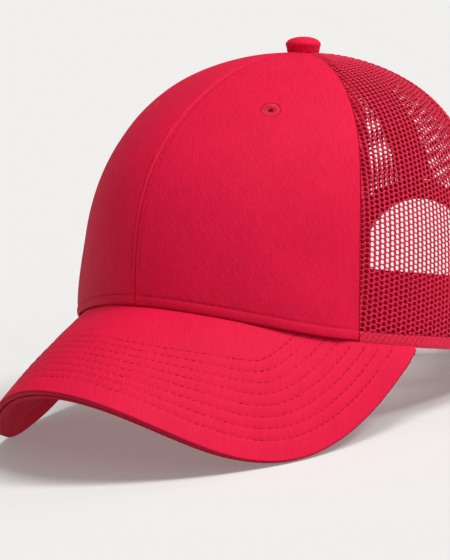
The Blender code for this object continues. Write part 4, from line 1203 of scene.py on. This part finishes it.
# --------------------------------------------------------- button and eyelets
def turned(name, centre, axis, profile, mat, sides=96, groove=None):
    """Solid of revolution from (radius, height) pairs; groove(angle) scales r and h."""
    axis = unit(np.asarray(axis, float))
    u = unit(np.cross(axis, [0.0, 1.0, 0.0] if abs(axis[1]) < 0.9 else [1.0, 0.0, 0.0]))
    v = np.cross(axis, u)
    prof = np.array(profile, float)
    ang = np.linspace(0, 2 * math.pi, sides, endpoint=False)
    R = prof[:, 0][:, None] * np.ones(sides)[None, :]
    Hh = prof[:, 1][:, None] * np.ones(sides)[None, :]
    if groove is not None:
        R, Hh = groove(R, Hh, ang[None, :])
    P = centre + axis * Hh[..., None] + u * (R * np.cos(ang))[..., None] + v * (R * np.sin(ang))[..., None]
    n = len(prof)
    i, j = np.meshgrid(np.arange(n - 1), np.arange(sides), indexing="ij")
    a, b = i * sides + j, i * sides + (j + 1) % sides
    F = [tuple(q) for q in np.stack([a, b, b + sides, a + sides], -1).reshape(-1, 4)]
    closed_ring = np.allclose(prof[0], prof[-1])
    if closed_ring:
        F = [q for q in F]
        last = (n - 1) * sides
        F = [tuple((x - last) if x >= last else x for x in q) for q in F]
        P = P[:-1]
    else:
        F.append(tuple(range(sides))[::-1])
        F.append(tuple(range((n - 1) * sides, n * sides)))
    run = np.concatenate([[0], np.cumsum(np.hypot(*np.diff(prof, axis=0).T))])[: P.shape[0]]
    # cloth over a dome: the weave is carried straight across it
    uv = np.stack([R[: P.shape[0]] * np.cos(ang), R[: P.shape[0]] * np.sin(ang)], -1) + run[:, None, None] * 0.0
    return mesh_object(name, P.reshape(-1, 3), F, mat, {"weave": uv.reshape(-1, 2)})


POLE = np.array([0.0, BUTTON_Y, CROWN_HEIGHT])
prof = [(0.05, 0.02), (3.0, 0.02), (5.6, 0.02), (6.7, 0.04), (6.95, 0.25), (7.05, 0.7), (7.1, 1.2), (7.3, 1.9), (7.52, 2.5), (7.66, 2.95), (7.7, 3.3)]
prof += [(7.7 * math.cos(t) ** 0.92, 3.3 + 3.4 * math.sin(t)) for t in np.linspace(0.1, 1.52, 18)] + [(0.05, 6.7)]


def crown_drop(radius, ang):
    """How far the crown falls below its pole at this radius, in each direction."""
    phis = np.linspace(0, 2 * math.pi, 73)
    t = np.linspace(1.2, 1.565, 300)
    fall = np.array([np.interp(-radius, -reach(p, t), crown(p, t)[:, 2] - CROWN_HEIGHT) for p in phis])
    return np.interp(np.mod(ang, 2 * math.pi), phis, fall)


def pleats(R, Hh, ang):
    k = smooth(3.0, 0.8, Hh)
    R = R * (1 + 0.010 * k * np.sin(17 * ang + 0.7) + 0.006 * k * np.sin(29 * ang))
    low = smooth(2.6, 0.2, Hh)
    # x = sin(phi), y = -cos(phi) for the axes used by turned()
    fall = crown_drop(6.9, ang + 0 * R[:1]) * np.ones_like(R)
    return R, Hh + low * fall * np.clip(R / 6.9, 0, 1) ** 2


ob = turned("top_button_cloth", POLE, [0, 0, 1], prof, BUTTON_CLOTH, groove=pleats)
ride(ob, "top_button", slot="twill")

for side, sgn in (("left", 1), ("right", -1)):
    p, t = sgn * math.radians(EYELET_PHI), math.radians(EYELET_THETA)
    c, ax = crown(p, t), crown_normal(np.array(p), np.array(t))
    # a flat sewn ring set into the cloth: satin stitches run from the hole to its rim
    pr = [(1.0, -1.05), (1.05, -0.6), (1.25, -0.28), (1.55, 0.0), (2.0, 0.17), (2.5, 0.24), (3.1, 0.23), (3.65, 0.14), (4.02, -0.02), (4.18, -0.3)]
    pr += [(4.18, -0.9), (2.6, -1.05), (1.0, -1.05)]

    def satin(R, Hh, ang):
        k = np.clip((R - 1.0) / 0.5, 0, 1) * np.where(Hh > -0.2, 1, 0)
        return R, Hh + 0.075 * k * np.sin(40 * ang) * (1 - 0.3 * smooth(3.4, 4.2, R))

    ob = turned(f"eyelet_{side}_satin", c, ax, pr, SATIN, sides=320, groove=satin)
    ride(ob, f"eyelet_{side}", slot="embroidery")


# the vents go through the cloth and its backing
def apply_boolean(ob, other, operation):
    mod = ob.modifiers.new("cut", "BOOLEAN")
    mod.operation, mod.solver, mod.object = operation, "EXACT", other
    graph = bpy.context.evaluated_depsgraph_get()
    done = bpy.data.meshes.new_from_object(ob.evaluated_get(graph))
    ob.modifiers.clear()
    old = ob.data
    ob.data = done
    bpy.data.meshes.remove(old)
    bpy.data.objects.remove(other)


def tool(spots, profile, sides=40, mat=SNAP):
    V, F = [], []
    for c, ax in spots:
        u = unit(np.cross(ax, [0.0, 0.0, 1.0]))
        w = np.cross(ax, u)
        base = len(V)
        ang = np.linspace(0, 2 * math.pi, sides, endpoint=False)
        for r, h in profile:
            V.extend(c + ax * h + (u * math.cos(a) + w * math.sin(a)) * r for a in ang)
        for i in range(len(profile) - 1):
            for j in range(sides):
                a, b = base + i * sides + j, base + i * sides + (j + 1) % sides
                F.append((a, b, b + sides, a + sides))
        F.append(tuple(base + j for j in range(sides))[::-1])
        F.append(tuple(base + (len(profile) - 1) * sides + j for j in range(sides)))
    return mesh_object("tool", V, F, mat, smooth_shade=False)


for ob, sgn, radius in cut_later:
    p, t = sgn * math.radians(EYELET_PHI), math.radians(EYELET_THETA)
    spot = (crown(p, t), crown_normal(np.array(p), np.array(t)))
    apply_boolean(ob, tool([spot], [(radius, -4.0), (radius, 3.0)], 64, ob.data.materials[0]), "DIFFERENCE")


# ---------------------------------------------------------------- snap straps
def strap_points(xs, heights, depth):
    """Points of the rear at these x, heights above the hem and depths."""
    xs, heights, depth = np.broadcast_arrays(np.asarray(xs, float), heights, depth)
    shape = xs.shape
    x, h, d = xs.ravel(), heights.ravel(), depth.ravel()
    phi = np.array([phi_at_x(v) for v in x])
    for _ in range(5):
        th = theta_at(phi, h)
        p = shell(phi, th, d)
        phi = phi + (p[:, 0] - x) / 100.0
    th = theta_at(phi, h)
    return shell(phi, th, d).reshape(shape + (3,))


def strap(name, root, tip, depth_of, hinge, nodes, bodies, pegs, mat):
    """One moulding: sewn tab, thin bend beside it, and the free strap."""
    sg = 1 if root > 0 else -1
    reach_x = abs(root - tip)
    s = np.concatenate([np.linspace(0, 16.0, 12), np.linspace(16.4, 18.2, 7), np.linspace(19, reach_x - 7, 46), reach_x - 7 + 7 * np.sin(np.linspace(0.1, math.pi / 2, 12))])
    x = root - sg * s
    half0 = (STRAP_HIGH - STRAP_LOW) / 2
    past = np.clip(1 - np.abs(x - tip) / 6.5, 0, 1)
    half = half0 * np.sqrt(np.maximum(1 - past**2, 0.10))
    corner = np.clip(1 - s / 1.6, 0, 1)
    half = half - 0.9 * corner**2
    v = np.array([-1.0, -0.985, -0.94, -0.86, -0.72, -0.5, -0.25, 0, 0.25, 0.5, 0.72, 0.86, 0.94, 0.985, 1.0])
    XX = x[:, None] + 0 * v[None, :]
    HH = MID_H + half[:, None] * v[None, :]
    # rounded long edges with a slight raised border, thinner at the bend
    edge = 0.28 * smooth(0.90, 1.0, np.abs(v)) - 0.10 * bell(np.abs(v), 0.86, 0.06)
    bend = 0.28 * bell(np.abs(x - hinge), 0.0, 0.7)
    D = np.array([depth_of(q) for q in x])
    do = D[:, None] + edge[None, :] + bend[:, None]
    di = D[:, None] + 1.2 - edge[None, :] - bend[:, None]
    outer, inner = strap_points(XX, HH, do), strap_points(XX, HH, di)
    ob = slab(name, outer, inner, mat, turn=sg > 0, sharp=50)
    extra = []
    for px in pegs:
        c = strap_points(np.array(px), MID_H, depth_of(px))
        ax = unit(strap_points(np.array(px), MID_H, 0.0) - strap_points(np.array(px), MID_H, 5.0))
        extra.append((c, ax))
    return ob, extra


def holed_depth(x):
    return 2.1


def pegged_depth(x):
    s = min(max((x + 33.2) / 9.0, 0.0), 1.0)
    return 2.1 + 1.55 * s * s * (3 - 2 * s)


holes, spots = strap("strap_with_holes_moulding", 50.0, -20.0, holed_depth, 33.8, (), (), SNAPS + [SNAPS[-1] + 9.5], SNAP)
apply_boolean(holes, tool(spots, [(3.0, -3.0), (3.0, 3.0)]), "DIFFERENCE")
pegs, spots = strap("strap_with_pegs_moulding", -50.0, 18.5, pegged_depth, -33.8, (), (), SNAPS, SNAP)
cap_profile = [(1.55, -0.5), (1.55, 0.9), (1.9, 1.25), (2.08, 1.6), (2.0, 1.95), (1.7, 2.2), (1.2, 2.32), (0.5, 2.36)]
apply_boolean(pegs, tool(spots, cap_profile), "UNION")
for ob, node, tab, body, sg in (
    (holes, "strap_with_holes", "strap_tab_left", "hole_strap", 1),
    (pegs, "strap_with_pegs", "strap_tab_right", "peg_strap", -1),
):
    ob.data.shade_smooth()
    ob.data.set_sharp_from_angle(angle=math.radians(42))
    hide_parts(node, tab)
    lo = place(strap_points(np.array(34.4 * sg), MID_H, 2.7))
    hi = place(strap_points(np.array(32.8 * sg), MID_H, 2.7))
    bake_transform(ob)

# CAD piece that stays: the button's prong
for node, mat in (("button_prong", STEEL),):
    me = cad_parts[node].data
    me.materials.clear()
    me.materials.append(mat)

# ------------------------------------------------------------ floor and light
# the floor glows a little of its own: painted light that lightens the shadows on it and lights the visor's underside
FLOOR_SHADE, FLOOR_GLOW = 0.57, 0.18
fm = Nodes("studio_floor")
fm.principled(Base_Color=(FLOOR_SHADE, FLOOR_SHADE * 0.992, FLOOR_SHADE * 0.975, 1.0), Roughness=1.0, Specular_IOR_Level=0.0, Emission_Color=(1.0, 0.992, 0.975, 1.0), Emission_Strength=FLOOR_GLOW)
me = bpy.data.meshes.new("studio_floor")
size = 14.0
me.from_pydata([(-size, -size, 0), (size, -size, 0), (size, size, 0), (-size, size, 0)], [], [(0, 1, 2, 3)])
me.materials.append(fm.mat)
floor = bpy.data.objects.new("studio_floor", me)
bpy.context.scene.collection.objects.link(floor)

scene = bpy.context.scene
world = bpy.data.worlds.new("studio")
world.use_nodes = True
back = world.node_tree.nodes["Background"]
back.inputs[0].default_value = (0.871, 0.863, 0.847, 1.0)
# the backdrop looks as pale as the floor, but lights the cap less
sight = world.node_tree.nodes.new("ShaderNodeLightPath")
level = world.node_tree.nodes.new("ShaderNodeMath")
level.operation = "MULTIPLY_ADD"
level.inputs[1].default_value = 1.0 - 0.27
level.inputs[2].default_value = 0.27
world.node_tree.links.new(sight.outputs["Is Camera Ray"], level.inputs[0])
world.node_tree.links.new(level.outputs[0], back.inputs[1])
scene.world = world
scene.view_settings.view_transform = "Standard"
scene.view_settings.look = "None"
scene.view_settings.exposure = 0.0
scene.view_settings.gamma = 1.0

CAM_AZ, CAM_EL = 40.182, 3.5058
CAM_DISTANCE, CAM_SCALE = 1700.0, 2.2887
TARGET, TARGET_PX = np.array([0.0, 0.0, 40.0]), (289.52, 230.14)
az, el = math.radians(CAM_AZ), math.radians(CAM_EL)
right = np.array([math.cos(az), math.sin(az), 0.0])
back_dir = np.array([math.sin(az) * math.cos(el), -math.cos(az) * math.cos(el), math.sin(el)])
up = np.cross(back_dir, right)
eye = TARGET + back_dir * CAM_DISTANCE
focal = CAM_SCALE * CAM_DISTANCE
ahead = unit(-back_dir - right * (TARGET_PX[0] - 225.0) / focal - up * (280.0 - TARGET_PX[1]) / focal)
right = unit(right - ahead * (right @ ahead))
up = np.cross(right, ahead)


def turn(v):
    return lean(v, REST_LEAN)


cam = bpy.data.cameras.new("camera")
cam.sensor_fit = "AUTO"
cam.sensor_width = 36.0
cam.lens = focal / 560.0 * 36.0
cam.clip_start, cam.clip_end = 0.05, 60.0
cam_ob = bpy.data.objects.new("camera", cam)
scene.collection.objects.link(cam_ob)
R = np.stack([turn(right), turn(up), turn(-ahead)], 1)
M = np.eye(4)
M[:3, :3], M[:3, 3] = R, place(eye)
cam_ob.matrix_world = Matrix(M.tolist())
scene.camera = cam_ob


def sun(name, azimuth, elevation, strength, angle, colour=(1, 1, 1)):
    """azimuth is counted from the camera's own side of the cap, to the right."""
    light = bpy.data.lights.new(name, "SUN")
    light.energy = strength
    light.angle = math.radians(angle)
    light.color = colour
    ob = bpy.data.objects.new(name, light)
    scene.collection.objects.link(ob)
    a, e = math.radians(CAM_AZ + azimuth), math.radians(elevation)
    d = Vector((math.sin(a) * math.cos(e), -math.cos(a) * math.cos(e), math.sin(e)))
    ob.rotation_euler = d.to_track_quat("Z", "Y").to_euler()


sun("overhead", 60.0, 75.0, math.pi * 0.58, 26.0)
sun("key", 75.0, 50.0, math.pi * 0.44, 14.0)
sun("front_fill", 35.0, 25.0, math.pi * 0.09, 30.0)
sun("rear_right", 120.0, 25.0, math.pi * 0.12, 36.0)
